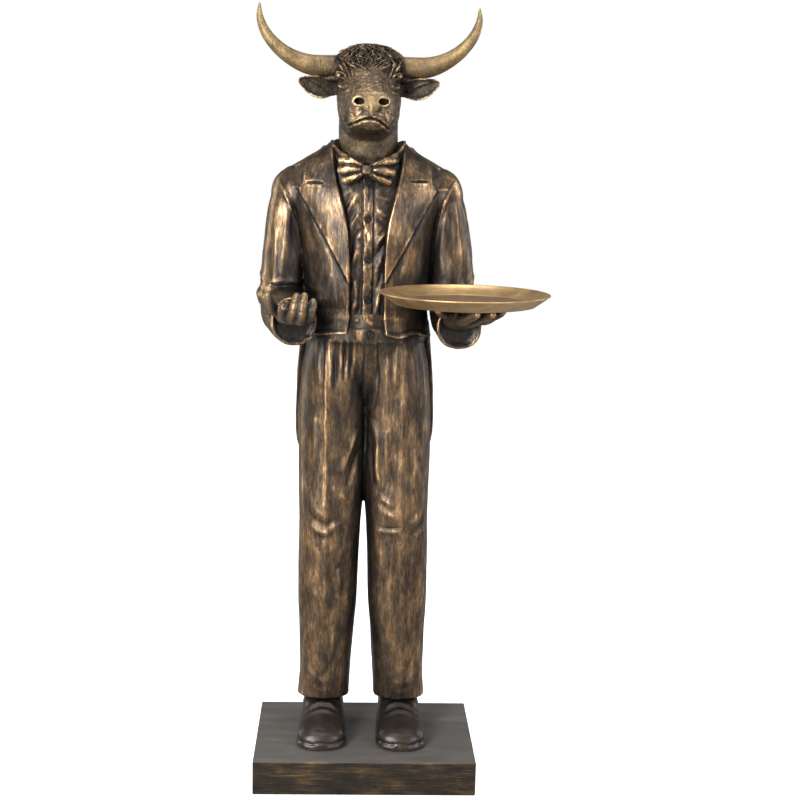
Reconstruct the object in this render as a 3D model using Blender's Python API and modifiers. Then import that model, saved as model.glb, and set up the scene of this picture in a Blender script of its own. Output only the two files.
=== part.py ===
"""A bull-headed waiter in a tailcoat, cast in one piece, on a plinth, holding out a round tray.

Metres, +Z up. The waiter faces -Y and the origin is the middle of the plinth's underside.
The figure is drawn in its own millimetres, as shares of a height of FIGURE_UNITS, from its soles up.
"""

import math

import bmesh
import bpy
import numpy as np
from mathutils import Matrix

# Driving sizes in metres
FIGURE_HEIGHT = 0.7132
PLINTH_WIDTH = 0.216
PLINTH_DEPTH = 0.150
PLINTH_HEIGHT = 0.0338
PLINTH_EDGE = 0.0012
TRAY_RADIUS = 0.076
TRAY_DEPTH = 0.0108
TRAY_FLARE = 0.0138
TRAY_WALL = 0.0016
TRAY_LIP = 0.0013
SEAT_GAP = 0.0003
FIGURE_OFFSET = -0.0035
FIGURE_LEAN = 0.0055

# How finely the figure is cut
FIGURE_UNITS = 716.0
UNIT = FIGURE_HEIGHT / FIGURE_UNITS
VOXEL = 2.0
FIGURE_TRIANGLES = 8300
RING_SIDES = 48
RING_STEP = 4.0
TRAY_SEGMENTS = 56

# Body sections from the soles up: height, middle y, half width, front depth, back depth, squareness
SHIRT = (
    (398, 10, 52, 38, 36, 2.3),
    (440, 8, 51, 37, 37, 2.3),
    (480, 8, 55, 39, 40, 2.3),
    (520, 8, 60, 40, 42, 2.3),
    (550, 8, 58, 37, 40, 2.2),
    (572, 8, 44, 32, 34, 2.1),
)
JACKET = (
    (402, 10, 63, 46, 47, 2.4),
    (440, 8, 59, 44, 43, 2.4),
    (480, 8, 62, 46, 46, 2.4),
    (520, 8, 69, 47, 49, 2.4),
    (545, 8, 76, 43, 46, 2.4),
    (556, 8, 79, 38, 42, 2.3),
    (564, 8, 74, 34, 39, 2.2),
    (572, 8, 62, 32, 37, 2.1),
    (582, 8, 44.5, 31, 36, 2.0),
    (592, 8, 35.5, 30, 35, 2.0),
)
HIPS = (
    (332, 12, 34, 14, 30, 2.2),
    (346, 12, 50, 21, 38, 2.3),
    (366, 12, 58, 31, 43, 2.4),
    (385, 11.5, 60, 38.5, 44, 2.4),
    (404, 10, 58, 41.5, 41, 2.4),
    (431, 9, 54, 39.5, 39, 2.4),
)
# One trouser leg: height, middle x, middle y, half width, front depth, back depth, squareness
LEG = (
    (34, 38.5, 19, 26.0, 27, 25, 2.3),
    (60, 37.0, 17, 25.5, 27, 25, 2.3),
    (100, 36.0, 15, 27.2, 28, 27, 2.3),
    (140, 35.3, 13, 29.6, 29, 29, 2.3),
    (200, 34.0, 10, 30.3, 31, 30, 2.3),
    (235, 32.6, 10, 31.4, 33, 30, 2.3),
    (280, 31.6, 11, 33.2, 34, 35, 2.3),
    (330, 31.0, 12, 33.8, 37, 41, 2.3),
    (360, 29.5, 12, 33.5, 39.0, 42, 2.3),
    (385, 27.5, 12, 33.0, 40.0, 41, 2.3),
    (408, 24.0, 11, 31.0, 38.5, 38, 2.3),
)
NECK = (
    (540, 12, 24, 24, 26, 2.0),
    (570, 10, 27, 28, 30, 2.0),
    (600, 9, 28, 29, 33, 2.1),
    (630, 10, 26, 22, 32, 2.1),
    (650, 12, 22, 12, 24, 2.0),
)
# The head from the nape to the nose: y, top, bottom, half width, squareness, width of the jaw to the brow
HEAD = (
    (38, 655, 620, 13, 2.0, 1.0),
    (30, 668, 603, 23, 2.1, 1.0),
    (14, 675, 594, 28.8, 2.2, 0.99),
    (0, 676, 590, 30.5, 2.3, 0.975),
    (-14, 672, 590, 29.5, 2.4, 0.94),
    (-29, 661, 594, 26.0, 2.4, 0.86),
    (-44, 650, 597, 22.5, 2.4, 0.86),
    (-57, 642, 598.5, 20.8, 2.5, 0.92),
    (-68, 636.5, 600, 20.2, 2.6, 0.96),
    (-76, 632.5, 602.5, 18.2, 2.6, 0.96),
    (-80, 628, 606, 13.0, 2.4, 0.90),
)
# A horn's middle line from its base: x, y, z, radius
HORN = (
    (24, 6, 660, 11.0),
    (40, 3, 660, 10.2),
    (58, -1, 661.5, 9.2),
    (75, -5, 668.5, 7.3),
    (87, -8, 677.5, 6.0),
    (97.5, -9, 691, 4.6),
    (101.8, -8, 704, 3.1),
    (102.0, -5, 716.5, 1.1),
)
# An ear from its root: x, y, z, half height, half depth
EAR = (
    (24, 6, 640, 4.0, 4.0),
    (34, 4, 640, 6.8, 4.0),
    (45, 1, 640.5, 9.6, 3.6),
    (55, -1, 642, 8.6, 3.0),
    (62, -2, 644.5, 5.2, 2.4),
    (66.5, -2, 646.5, 1.6, 1.4),
)
# An arm from the shoulder to the cuff: x, y, z, half width, half height
RIGHT_ARM = (
    (-70, 10, 550, 16, 20),
    (-76, 10, 530, 18, 25),
    (-78, 11, 500, 20, 26),
    (-80, 11, 470, 21.5, 26),
    (-81, 10, 446, 22, 25),
    (-79, -4, 433, 22.5, 23),
    (-73, -30, 428, 22.5, 22.5),
    (-67, -62, 427, 21.5, 22.5),
)
LEFT_ARM = (
    (70, 10, 550, 16, 20),
    (76, 10, 530, 18, 25),
    (79, 11, 500, 20, 26),
    (82, 11, 470, 21.5, 26),
    (83, 10, 446, 22, 25),
    (84, -4, 431, 22.5, 22.5),
    (85, -32, 425.5, 22, 20.5),
    (85.5, -64, 424, 21, 20),
)
# A shoe from heel to toe: y, half width, height, inward drift
SHOE = (
    (47, 10, 30, 0),
    (43, 16.5, 34, 0),
    (28, 20, 38, 0),
    (6, 21.5, 38, 0),
    (-14, 22.3, 29, 0.4),
    (-30, 23.4, 22.5, 0.8),
    (-41, 21.3, 18.5, 1.2),
    (-48, 14, 13.5, 1.5),
    (-50.5, 7, 9, 1.5),
)

# The coat's cut, on the front of the figure
LAPEL_LIFT = 2.2
LAPEL_THICKNESS = 4.0
JACKET_THICKNESS = 12.0
JACKET_HEM = 411.0
LAPEL_FOOT = 462.0
LAPEL_TIP = 64.0
NOTCH_HEIGHT = 554.0
COLLAR_TOP = 591.0
TAIL_FOOT = 276.0

# The collar's height at the nape, and how far it dips to the bow tie, which hangs a little to one side
COLLAR_NAPE = 594.0
COLLAR_DIP = 22.0
BOW_SIDE = -1.2
# Where the tray's hand is, and the flat on which the tray rests
TRAY_HAND = (96.0, -98.0)
TRAY_SEAT = 449.8
TRAY_SIDE = 84.2
TRAY_BACK = 29.0

# Dents pressed into the cast skin: middle, radii and push, for the +X side and mirrored
DENTS = (
    ((10.2, -80, 626.5), (4.4, 9, 4.2), (0, 8.5, 0)),
    ((45, -3, 640.5), (15, 8, 7.5), (0, 4.0, 0)),
    ((29, -24, 656), (5, 7, 3.0), (-3.0, 2.0, 0)),
)
# The mouth, from its middle to its corner: x, z
MOUTH = ((0, 612.5), (5, 612.0), (10, 610.2), (14.5, 607.0), (19.5, 605.6))


def rows_at(rows, positions):
    """Reads the columns of a table of sections smoothly at any place along its first column."""
    table = np.array(rows, float)
    keys = table[:, 0]
    order = np.argsort(keys)
    keys, values = keys[order], table[order, 1:]
    slopes = np.gradient(values, keys, axis=0)
    places = np.clip(positions, keys[0], keys[-1])
    left = np.clip(np.searchsorted(keys, places, side="right") - 1, 0, len(keys) - 2)
    span = (keys[left + 1] - keys[left])[:, None]
    t = ((places - keys[left])[:, None]) / span
    rise = values[left] * (1 + 2 * t) * (1 - t) ** 2 + values[left + 1] * t * t * (3 - 2 * t)
    return rise + slopes[left] * span * t * (1 - t) ** 2 + slopes[left + 1] * span * t * t * (t - 1)


def steps(low, high, step=RING_STEP):
    """Even stations from low to high, both included."""
    return np.linspace(low, high, max(2, round(abs(high - low) / step) + 1))


def power(value, squareness):
    """The signed power that turns a circle's sine or cosine into a superellipse's."""
    return np.sign(value) * np.abs(value) ** (2.0 / squareness)


def body_point(rows, heights, turns, lift=0.0):
    """Points on a body section: turn 0 is the front middle, and pi / 2 is the +X side."""
    middle, half_width, front, back, squareness = rows_at(rows, heights).T
    x = (half_width + lift) * power(np.sin(turns), squareness)
    depth = np.where(np.cos(turns) > 0, front, back) + lift
    y = middle - depth * power(np.cos(turns), squareness)
    return np.stack([x, y, heights + 0 * x], -1)


def turn_of(rows, heights, x):
    """The turn at which a body's front has this x."""
    _, half_width, _, _, squareness = rows_at(rows, heights).T
    share = np.clip(np.abs(x) / half_width, 0, 1) ** (squareness / 2)
    return np.sign(x) * np.arcsin(share)


def loft(rings):
    """Joins closed rings of equal count into one skin, with a flat cap on each end."""
    rings = np.asarray(rings, float)
    count, sides = rings.shape[:2]
    mesh = bmesh.new()
    made = [[mesh.verts.new(point) for point in ring] for ring in rings]
    for low, high in zip(made, made[1:]):
        for i in range(sides):
            j = (i + 1) % sides
            mesh.faces.new((low[i], low[j], high[j], high[i]))
    mesh.faces.new(made[0][::-1])
    mesh.faces.new(made[count - 1])
    bmesh.ops.recalc_face_normals(mesh, faces=mesh.faces)
    return mesh


def body_loft(rows, low=None, high=None):
    """A whole body section table as a closed skin."""
    heights = steps(rows[0][0] if low is None else low, rows[-1][0] if high is None else high)
    turns = np.linspace(0, 2 * np.pi, RING_SIDES, endpoint=False)
    return loft([body_point(rows, np.full(RING_SIDES, z), turns) for z in heights])


def cloth_shell(rows, heights, edge_a, edge_b, lift, thickness, columns=40):
    """A thick sheet of cloth that lies on a body, between two turns given at each height."""
    rings = []
    for z, a, b in zip(heights, edge_a, edge_b):
        turns = np.linspace(a, b, columns)
        level = np.full(columns, z)
        outer = body_point(rows, level, turns, lift)
        inner = body_point(rows, level, turns[::-1], lift - thickness)
        rings.append(np.concatenate([outer, inner]))
    count = len(rings[0])
    mesh = bmesh.new()
    made = [[mesh.verts.new(point) for point in ring] for ring in rings]
    for low, high in zip(made, made[1:]):
        for i in range(count):
            j = (i + 1) % count
            mesh.faces.new((low[i], low[j], high[j], high[i]))
    for ring in (made[0], made[-1]):
        for i in range(columns - 1):
            mesh.faces.new((ring[i], ring[i + 1], ring[count - 2 - i], ring[count - 1 - i]))
    bmesh.ops.recalc_face_normals(mesh, faces=mesh.faces)
    return mesh


def path_rings(rows, reference, sides=RING_SIDES, squareness=2.1, step=RING_STEP):
    """Rings square to a path. Its rows hold x, y, z, then the half sizes along and across the reference."""
    table = np.array(rows, float)
    along = np.concatenate([[0], np.cumsum(np.linalg.norm(np.diff(table[:, :3], axis=0), axis=1))])
    places = steps(0, along[-1], step)
    values = rows_at(np.column_stack([along, table]), places)
    tangents = np.gradient(values[:, :3], places, axis=0)
    tangents /= np.linalg.norm(tangents, axis=1)[:, None]
    turns = np.linspace(0, 2 * np.pi, sides, endpoint=False)
    rings = []
    for (x, y, z, half_a, half_b), tangent in zip(values, tangents):
        side = np.array(reference, float) - tangent * np.dot(reference, tangent)
        side /= np.linalg.norm(side)
        rise = np.cross(tangent, side)
        spread = half_a * power(np.cos(turns), squareness)
        lifted = half_b * power(np.sin(turns), squareness)
        rings.append(np.array([x, y, z]) + np.outer(spread, side) + np.outer(lifted, rise))
    return np.array(rings)


def tapered_tube(points, sides=3):
    """A round, tapering limb such as a horn or a finger: a curve with a radius at each point, as a mesh."""
    table = np.array(points, float)
    along = np.concatenate([[0], np.cumsum(np.linalg.norm(np.diff(table[:, :3], axis=0), axis=1))])
    smooth = rows_at(np.column_stack([along, table]), steps(0, along[-1], 2.5))
    curve = bpy.data.curves.new("limb", "CURVE")
    curve.dimensions = "3D"
    curve.bevel_depth = 1.0
    curve.bevel_resolution = sides
    curve.use_fill_caps = True
    spline = curve.splines.new("POLY")
    spline.points.add(len(smooth) - 1)
    for point, (x, y, z, radius) in zip(spline.points, smooth):
        point.co = (x, y, z, 1.0)
        point.radius = radius
    limb = bpy.data.objects.new("limb", curve)
    bpy.context.scene.collection.objects.link(limb)
    graph = bpy.context.evaluated_depsgraph_get()
    mesh = bmesh.new()
    mesh.from_mesh(bpy.data.meshes.new_from_object(limb.evaluated_get(graph)))
    bpy.data.objects.remove(limb)
    bmesh.ops.remove_doubles(mesh, verts=mesh.verts, dist=1e-4)
    tip = bmesh.ops.create_uvsphere(mesh, u_segments=12, v_segments=8, radius=table[-1, 3])
    bmesh.ops.translate(mesh, verts=tip["verts"], vec=table[-1, :3])
    return mesh


def ellipsoid(middle, radii, lean=0.0):
    """A ball stretched to three radii, leaning forward by an angle about X."""
    mesh = bmesh.new()
    bmesh.ops.create_uvsphere(mesh, u_segments=24, v_segments=16, radius=1.0)
    bmesh.ops.scale(mesh, verts=mesh.verts, vec=radii)
    turn = np.array([[1, 0, 0], [0, math.cos(lean), -math.sin(lean)], [0, math.sin(lean), math.cos(lean)]])
    for vert in mesh.verts:
        vert.co = turn @ np.array(vert.co) + np.array(middle)
    return mesh


def mirrored(mesh):
    """The same shape on the other side of the figure."""
    other = mesh.copy()
    for vert in other.verts:
        vert.co.x = -vert.co.x
    bmesh.ops.reverse_faces(other, faces=other.faces)
    return other


def pair(mesh):
    """A shape and its mirror image."""
    return [mesh, mirrored(mesh)]


def trousers():
    """Two creased legs and the hips above them."""
    sides = RING_SIDES
    turns = np.linspace(0, 2 * np.pi, sides, endpoint=False)
    heights = steps(LEG[0][0], LEG[-1][0])
    rings = []
    for z, (x, y, half_width, front, back, squareness) in zip(heights, rows_at(LEG, heights)):
        depth = np.where(np.cos(turns) > 0, front, back)
        crease = 2.2 * np.exp(-(((np.sin(turns) - 0.13) / 0.16) ** 2))
        points_x = x + half_width * power(np.sin(turns), squareness)
        points_y = y - depth * power(np.cos(turns), squareness) - crease * np.sign(np.cos(turns))
        rings.append(np.stack([points_x, points_y, np.full(sides, z)], -1))
    return pair(loft(rings)) + [body_loft(HIPS)] + trouser_folds()


def trouser_folds():
    """The waistband, the fly and the folds over each knee."""
    waist = steps(411, 422, 4)
    band = cloth_shell(HIPS, waist, -1.5 + 0 * waist, 1.5 + 0 * waist, 2.5, 6)
    heights = steps(344, 414)
    left, right = (turn_of(HIPS, heights, x + 0 * heights) for x in (-2, 9))
    fly = cloth_shell(HIPS, heights, left, right, 1.2, 6, 6)
    folds = [band, fly]
    knees = ((-1, 37, 214, 221, 14), (1, 27, 222, 226, 13), (1, 24, 240, 249, 10))
    for side, middle, low, high, half in knees:
        folds.append(
            tapered_tube([
                (side * middle - half, -16, high, 1.6),
                (side * middle, -21.8, low, 3.0),
                (side * middle + half, -16, high + 1, 1.6),
            ])
        )
    return folds


def shoe():
    """One laced-up shoe with its sole and heel, on the +X side."""
    table = np.array(SHOE, float)
    places = steps(SHOE[0][0], SHOE[-1][0], 3.0)
    turns = np.linspace(0, 2 * np.pi, 32, endpoint=False)
    rings, sole = [], []
    middle = 38.5
    for y, (half_width, height, drift) in zip(places, rows_at(table, places)):
        x = middle + drift + half_width * power(np.cos(turns), 2.6)
        z = height / 2 * (1 + power(np.sin(turns), 2.6))
        rings.append(np.stack([x, np.full(32, y), np.maximum(z, 1.0)], -1))
        wide = middle + drift + (half_width + 1.4) * power(np.cos(turns), 4.0)
        sole.append(np.stack([wide, np.full(32, y - 0.4), 2.6 + 2.6 * power(np.sin(turns), 6.0)], -1))
    heel = bmesh.new()
    bmesh.ops.create_cube(heel, size=1.0)
    bmesh.ops.scale(heel, verts=heel.verts, vec=(38, 26, 9))
    bmesh.ops.translate(heel, verts=heel.verts, vec=(middle, 32, 4.5))
    return pair(loft(rings)) + pair(loft(sole)) + pair(heel)


def opening_edge(heights):
    """How far the coat's front edge stands from the middle at each height."""
    low = ((402, 20), (411, 18.5), (425, 17), (455, 17), (488, 17.5))
    high = ((515, 20), (540, 26), (565, 31.5), (592, 35))
    return rows_at(low + high, heights)[:, 0]


def lapel_outer(heights):
    """The lapel's outer edge, straight from the foot to its point."""
    share = (heights - LAPEL_FOOT) / (NOTCH_HEIGHT - 8 - LAPEL_FOOT)
    return 18.0 + share * (LAPEL_TIP - 18.0)


def jacket():
    """The tailcoat: its body with an open front, the lapels, the collar and the two tails."""
    heights = steps(JACKET_HEM, 590)
    edge = turn_of(JACKET, heights, opening_edge(heights))
    body = cloth_shell(JACKET, heights, edge, 2 * np.pi - edge, 0.0, JACKET_THICKNESS, 72)
    shells = [body]
    lapel = steps(LAPEL_FOOT, NOTCH_HEIGHT - 8)
    inner = turn_of(JACKET, lapel, opening_edge(lapel) - 1.0)
    outer = turn_of(JACKET, lapel, np.maximum(lapel_outer(lapel), opening_edge(lapel) + 0.5))
    shells += pair(cloth_shell(JACKET, lapel, inner, outer, LAPEL_LIFT, LAPEL_THICKNESS, 14))
    bridge = steps(NOTCH_HEIGHT - 9, NOTCH_HEIGHT + 1, 2)
    inner = turn_of(JACKET, bridge, opening_edge(bridge) - 1.0)
    outer = turn_of(JACKET, bridge, 42.0 + 0 * bridge)
    shells += pair(cloth_shell(JACKET, bridge, inner, outer, 1.8, 4, 8))
    collar = steps(NOTCH_HEIGHT + 1, COLLAR_TOP, 3)
    inner = turn_of(JACKET, collar, opening_edge(collar) - 1.0)
    wide = rows_at(((540, 57), (560, 58), (572, 56), (592, 40)), collar)[:, 0]
    outer = turn_of(JACKET, collar, wide)
    shells += pair(cloth_shell(JACKET, collar, inner, outer, LAPEL_LIFT, LAPEL_THICKNESS, 14))
    neck = steps(568, COLLAR_TOP + 2, 3)
    shells.append(cloth_shell(JACKET, neck, 0 * neck + 1.2, 0 * neck + 2 * np.pi - 1.2, 3.0, 7.0, 40))
    shells += pair(ellipsoid((67.5, 9, 541), (24.5, 26, 27)))
    shells += [ellipsoid((-90, 3, 448), (16.5, 19, 11)), ellipsoid((90, 3, 446), (16, 19, 11))]
    return shells + tails()


def tails():
    """Two tails hang from the waist behind, parted by a vent."""
    heights = steps(TAIL_FOOT, JACKET_HEM + 10)
    table = (
        (276, 16, 66, 34, 47, 2.5),
        (310, 15, 68.5, 38, 49, 2.5),
        (360, 14, 67, 42, 48, 2.5),
        (425, 10, 61, 45, 44, 2.4),
    )
    share = (heights - TAIL_FOOT) / (JACKET_HEM - TAIL_FOOT)
    side = np.radians(rows_at(((0, 118), (0.12, 102), (0.5, 92), (0.9, 80), (1.1, 66)), share)[:, 0])
    vent = np.radians(180 - 1.2 + 0 * heights)
    return pair(cloth_shell(table, heights, side, vent, 0.0, 9.0, 26))


def shirt():
    """The shirt front with its placket and buttons, the standing collar and the bow tie."""
    shapes = [body_loft(SHIRT)]
    heights = steps(418, 566)
    left, right = (turn_of(SHIRT, heights, x + 0 * heights) for x in (-5, 5))
    shapes.append(cloth_shell(SHIRT, heights, left, right, 1.1, 5, 6))
    for z in (444.5, 482, 520, 554):
        y = body_point(SHIRT, np.array([z]), np.array([0.0]), 1.4)[0, 1]
        shapes.append(ellipsoid((0.5, y, z), (2.6, 1.2, 2.6)))
    shapes.append(ellipsoid((3.0, -33.4, 415.5), (3.2, 1.8, 3.2)))
    return shapes + shirt_collar() + bow_tie()


def shirt_collar():
    """A standing collar, lower in front, open round the neck."""
    turns = np.linspace(0, 2 * np.pi, 56, endpoint=False)
    dip = (1 + np.cos(turns)) / 2
    rings = []
    for share, out in ((0, 3.0), (0.5, 3.2), (1, 2.6), (1, 0.2), (0.6, -0.2)):
        foot = 570 - 14 * dip ** 2
        head = COLLAR_NAPE - COLLAR_DIP * dip ** 5
        x = (32.0 + out) * np.sin(turns)
        y = 8 - (31.0 + out + 3 * dip) * np.cos(turns)
        rings.append(np.stack([x, y, foot + (head - foot) * share], -1))
    return [loft(rings)]


def bow_tie():
    """Two gathered wings and a knot."""
    wing = path_rings(
        (
            (-1, -33, 566, 3.0, 4.0),
            (6, -35, 565.5, 3.6, 5.5),
            (14, -34.5, 565, 4.4, 9.0),
            (21, -32.5, 564.5, 4.0, 12.4),
            (23.8, -30.5, 564.5, 1.6, 11.5),
        ),
        (0, 1, 0),
        sides=20,
        squareness=2.6,
        step=2.0,
    )
    bow = pair(loft(wing)) + [ellipsoid((0, -35.5, 566), (4.6, 5.0, 5.4))]
    for shape in bow:
        bmesh.ops.translate(shape, verts=shape.verts, vec=(BOW_SIDE, 0, 0))
    return bow


def sleeve(rows):
    """A sleeve whose end is open round the shirt cuff, and the cuff open round the wrist."""
    rings = list(path_rings(rows, (1, 0, 0), squareness=2.15))
    end, before = rings[-1], rings[-2]
    middle = end.mean(axis=0)
    ahead = middle - before.mean(axis=0)
    ahead /= np.linalg.norm(ahead)

    def lip(share, shift):
        return middle + (end - middle) * share + ahead * shift

    rings += [lip(1.0, 2.0), lip(0.9, 2.2), lip(0.86, 1.0), lip(0.84, -5.0), lip(0.80, -5.0)]
    rings += [lip(0.79, 0.0), lip(0.76, 0.8), lip(0.72, 0.0), lip(0.70, -7.0), lip(0.2, -7.0)]
    return loft(rings)


def hand(wrist, palm, knuckles, fingers, thumb):
    """A hand from its wrist: a padded palm, four fingers and a thumb."""
    rows = (wrist, palm, knuckles)
    shapes = [loft(path_rings(rows, (1, 0, 0), sides=28, squareness=2.4, step=2.5))]
    return shapes + [tapered_tube(finger) for finger in fingers] + [tapered_tube(thumb)]


def empty_hand():
    """The figure's right hand: palm up and cupped, the fingers curling up in front."""
    fingers = []
    for x, tip_x, forward, low, tip in (
        (-74.6, -71.6, -103, 438.5, 448),
        (-67.5, -62.9, -107, 436, 455),
        (-59.8, -55.9, -107, 434, 455.5),
        (-51.3, -48.4, -103, 436.5, 450),
    ):
        fingers.append([
            (0.6 * x - 24, -90, low - 1, 5.2),
            (x, forward + 2, low, 5.0),
            ((x + tip_x) / 2, forward - 5, low + 8, 4.4),
            (tip_x, forward - 3, tip - 4, 3.9),
            (tip_x, forward, tip, 3.4),
        ])
    thumb = [(-78, -76, 436, 6.5), (-84.5, -84, 440.5, 5.4), (-87.5, -90, 447, 4.6), (-89.5, -92, 454, 3.6)]
    return hand(
        (-67, -52, 430, 13, 10), (-66, -74, 433, 17, 9), (-62.5, -93, 435, 17, 6.5), fingers, thumb
    )


def serving_hand():
    """The figure's left hand: palm up, the fingers spread under the tray."""
    x, y = TRAY_HAND
    fingers = []
    spread = ((-12, -6, 20, 33), (-4, -5, 29, 35), (3.5, -2, 39, 29), (9.5, 2.5, 50, 20))
    for across, back, heading, reach in spread:
        turn = math.radians(heading)
        joints = []
        for share, rise, radius in ((0, -14.5, 5.2), (0.35, -12, 5.0), (0.7, -8.5, 4.6), (1, -5.2, 3.9)):
            place_x = x + across + reach * share * math.sin(turn)
            place_y = y + back - reach * share * math.cos(turn)
            joints.append((place_x, place_y, TRAY_SEAT + rise, radius))
        fingers.append(joints)
    thumb = [
        (x - 16, y + 16, TRAY_SEAT - 13, 6.0),
        (x - 25, y + 6, TRAY_SEAT - 10, 5.2),
        (x - 31, y - 4, TRAY_SEAT - 6.8, 4.4),
        (x - 33, y - 10, TRAY_SEAT - 5.2, 3.8),
    ]
    shapes = hand((84, -54, 428, 13, 10), (87, -78, 434, 17, 9), (x - 2, -98, 438.5, 16, 6.5), fingers, thumb)
    pad = bmesh.new()
    bmesh.ops.create_cone(pad, cap_ends=True, segments=24, radius1=9.0, radius2=7.0, depth=9.0)
    bmesh.ops.translate(pad, verts=pad.verts, vec=(x - 2, y, TRAY_SEAT - 4.5))
    return shapes + [pad]


def head():
    """The bull's head: skull and muzzle, brows, lips, ears and horns."""
    places = steps(HEAD[0][0], HEAD[-1][0], 3.0)
    turns = np.linspace(0, 2 * np.pi, 40, endpoint=False)
    rings = []
    for y, (top, bottom, half_width, squareness, jaw) in zip(places, rows_at(HEAD, places)):
        taper = 1 - (1 - jaw) * (1 - np.sin(turns)) / 2
        x = half_width * taper * power(np.cos(turns), squareness)
        z = (top + bottom) / 2 + (top - bottom) / 2 * power(np.sin(turns), squareness)
        rings.append(np.stack([x, np.full(40, y), z], -1))
    shapes = [loft(rings), body_loft(NECK)]
    shapes += pair(ellipsoid((20, -16, 659), (9, 9, 4.5), 0.5))
    shapes += pair(ellipsoid((25.5, -22, 651), (4.2, 5.0, 3.6)))
    shapes += pair(ellipsoid((24, -20, 643), (5.5, 9.0, 3.6), 0.3))
    shapes += pair(ellipsoid((10.2, -75, 626.5), (7.2, 7, 6.6)))
    shapes += pair(ellipsoid((12, -66, 612), (8.5, 13, 7)))
    shapes += [ellipsoid((0, -77, 622), (10, 5.5, 10)), ellipsoid((0, -65, 604.5), (14.5, 13, 7.5))]
    shapes += [ellipsoid((0, 4, 662), (30, 26, 17))] + forelock()
    ear_rings = path_rings(EAR, (0, 0, 1), sides=24, squareness=2.0, step=3.0)
    return shapes + pair(loft(ear_rings)) + pair(tapered_tube(HORN, 4))


def forelock():
    """Pointed locks that fall from the crown to the brow and over the horns' roots."""
    locks = []
    rings = ((4, 679.5, 13, 7), (13, 677, 15, 11), (22, 671, 14, 13))
    for row, (out, height, length, count) in enumerate(rings):
        for i in range(count):
            turn = 2 * math.pi * (i + 0.5 * (row % 2)) / count
            ahead = np.array([math.sin(turn), -0.85 * math.cos(turn), 0.0])
            side = np.array([math.cos(turn), 0.85 * math.sin(turn), 0.0])
            root = ahead * out + np.array([0, 3.0, height - 2.5])
            sway = 3.0 * math.sin(2.4 * i + row)
            middle = root + ahead * length * 0.55 + side * sway + np.array([0, 0, 1.0])
            tip = root + ahead * length * 0.9 - side * sway * 0.6 - np.array([0, 0, length * 0.45])
            locks.append(tapered_tube([(*root, 3.8), (*middle, 3.4), (*tip, 1.2)]))
    return locks


def dented(points):
    """The figure's points after the nostrils, ear cups, eye corners and mouth are pressed in."""
    moved = points.copy()
    for side in (-1, 1):
        for middle, radii, push in DENTS:
            away = (points - np.array(middle) * (side, 1, 1)) / np.array(radii)
            share = np.clip(1 - (away ** 2).sum(axis=1), 0, 1)[:, None]
            moved += share ** 0.8 * np.array(push) * (side, 1, 1)
    x, z = np.array(MOUTH).T
    nearest = np.full(len(points), 1e9)
    for share in np.linspace(0, 1, 60):
        at_x = np.interp(share * (len(x) - 1), range(len(x)), x)
        at_z = np.interp(share * (len(z) - 1), range(len(z)), z)
        nearest = np.minimum(nearest, np.hypot(np.abs(points[:, 0]) - at_x, points[:, 2] - at_z))
    lips = (points[:, 1] < -48) & (points[:, 2] > 590)
    moved[:, 1] += np.where(lips, 3.6 * np.clip(1 - (nearest / 2.6) ** 2, 0, 1), 0)
    return moved


def join(shapes, name):
    """Merges overlapping closed shapes into one mesh object, still in figure units."""
    whole = bmesh.new()
    for shape in shapes:
        part = bpy.data.meshes.new("part")
        shape.to_mesh(part)
        shape.free()
        whole.from_mesh(part)
        bpy.data.meshes.remove(part)
    mesh = bpy.data.meshes.new(name)
    whole.to_mesh(mesh)
    whole.free()
    return bpy.data.objects.new(name, mesh)


def baked(obj):
    """The object's mesh with its modifiers applied."""
    bpy.context.view_layer.update()
    graph = bpy.context.evaluated_depsgraph_get()
    mesh = bpy.data.meshes.new_from_object(obj.evaluated_get(graph))
    obj.modifiers.clear()
    old, obj.data = obj.data, mesh
    bpy.data.meshes.remove(old)


def cast_figure(collection):
    """The whole waiter as one cast solid, standing on the plinth."""
    shapes = trousers() + shoe() + shirt() + jacket() + head()
    shapes += [sleeve(RIGHT_ARM), sleeve(LEFT_ARM)]
    shapes += empty_hand() + serving_hand()
    figure = join(shapes, "figure")
    collection.objects.link(figure)
    remesh = figure.modifiers.new("one skin", "REMESH")
    remesh.mode = "VOXEL"
    remesh.voxel_size = VOXEL
    baked(figure)
    points = np.empty(3 * len(figure.data.vertices))
    figure.data.vertices.foreach_get("co", points)
    points = dented(points.reshape(-1, 3))
    points[points[:, 2] < VOXEL / 2, 2] = 0.0
    figure.data.vertices.foreach_set("co", points.ravel())
    decimate = figure.modifiers.new("fewer faces", "DECIMATE")
    decimate.ratio = FIGURE_TRIANGLES / (2 * len(figure.data.polygons))
    baked(figure)
    figure.data.transform(scaled_to_place())
    figure.data.shade_smooth()
    return figure


def scaled_to_place():
    """From figure units to metres, leaning a little, with the soles just clear of the plinth."""
    lean = Matrix(((1, 0, -FIGURE_LEAN, 0), (0, 1, 0, 0), (0, 0, 1, 0), (0, 0, 0, 1)))
    return Matrix.Translation((FIGURE_OFFSET, 0, PLINTH_HEIGHT + SEAT_GAP)) @ Matrix.Scale(UNIT, 4) @ lean


def plinth(collection):
    """The block under the figure, its edges just broken."""
    bpy.ops.mesh.primitive_cube_add(size=1.0, location=(0, 0, PLINTH_HEIGHT / 2))
    block = bpy.context.object
    block.name = "plinth"
    block.scale = (PLINTH_WIDTH, PLINTH_DEPTH, PLINTH_HEIGHT)
    bpy.ops.object.transform_apply(location=False, rotation=False, scale=True)
    bevel = block.modifiers.new("broken edges", "BEVEL")
    bevel.width = PLINTH_EDGE
    bevel.segments = 2
    move_to(block, collection)
    return block


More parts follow.
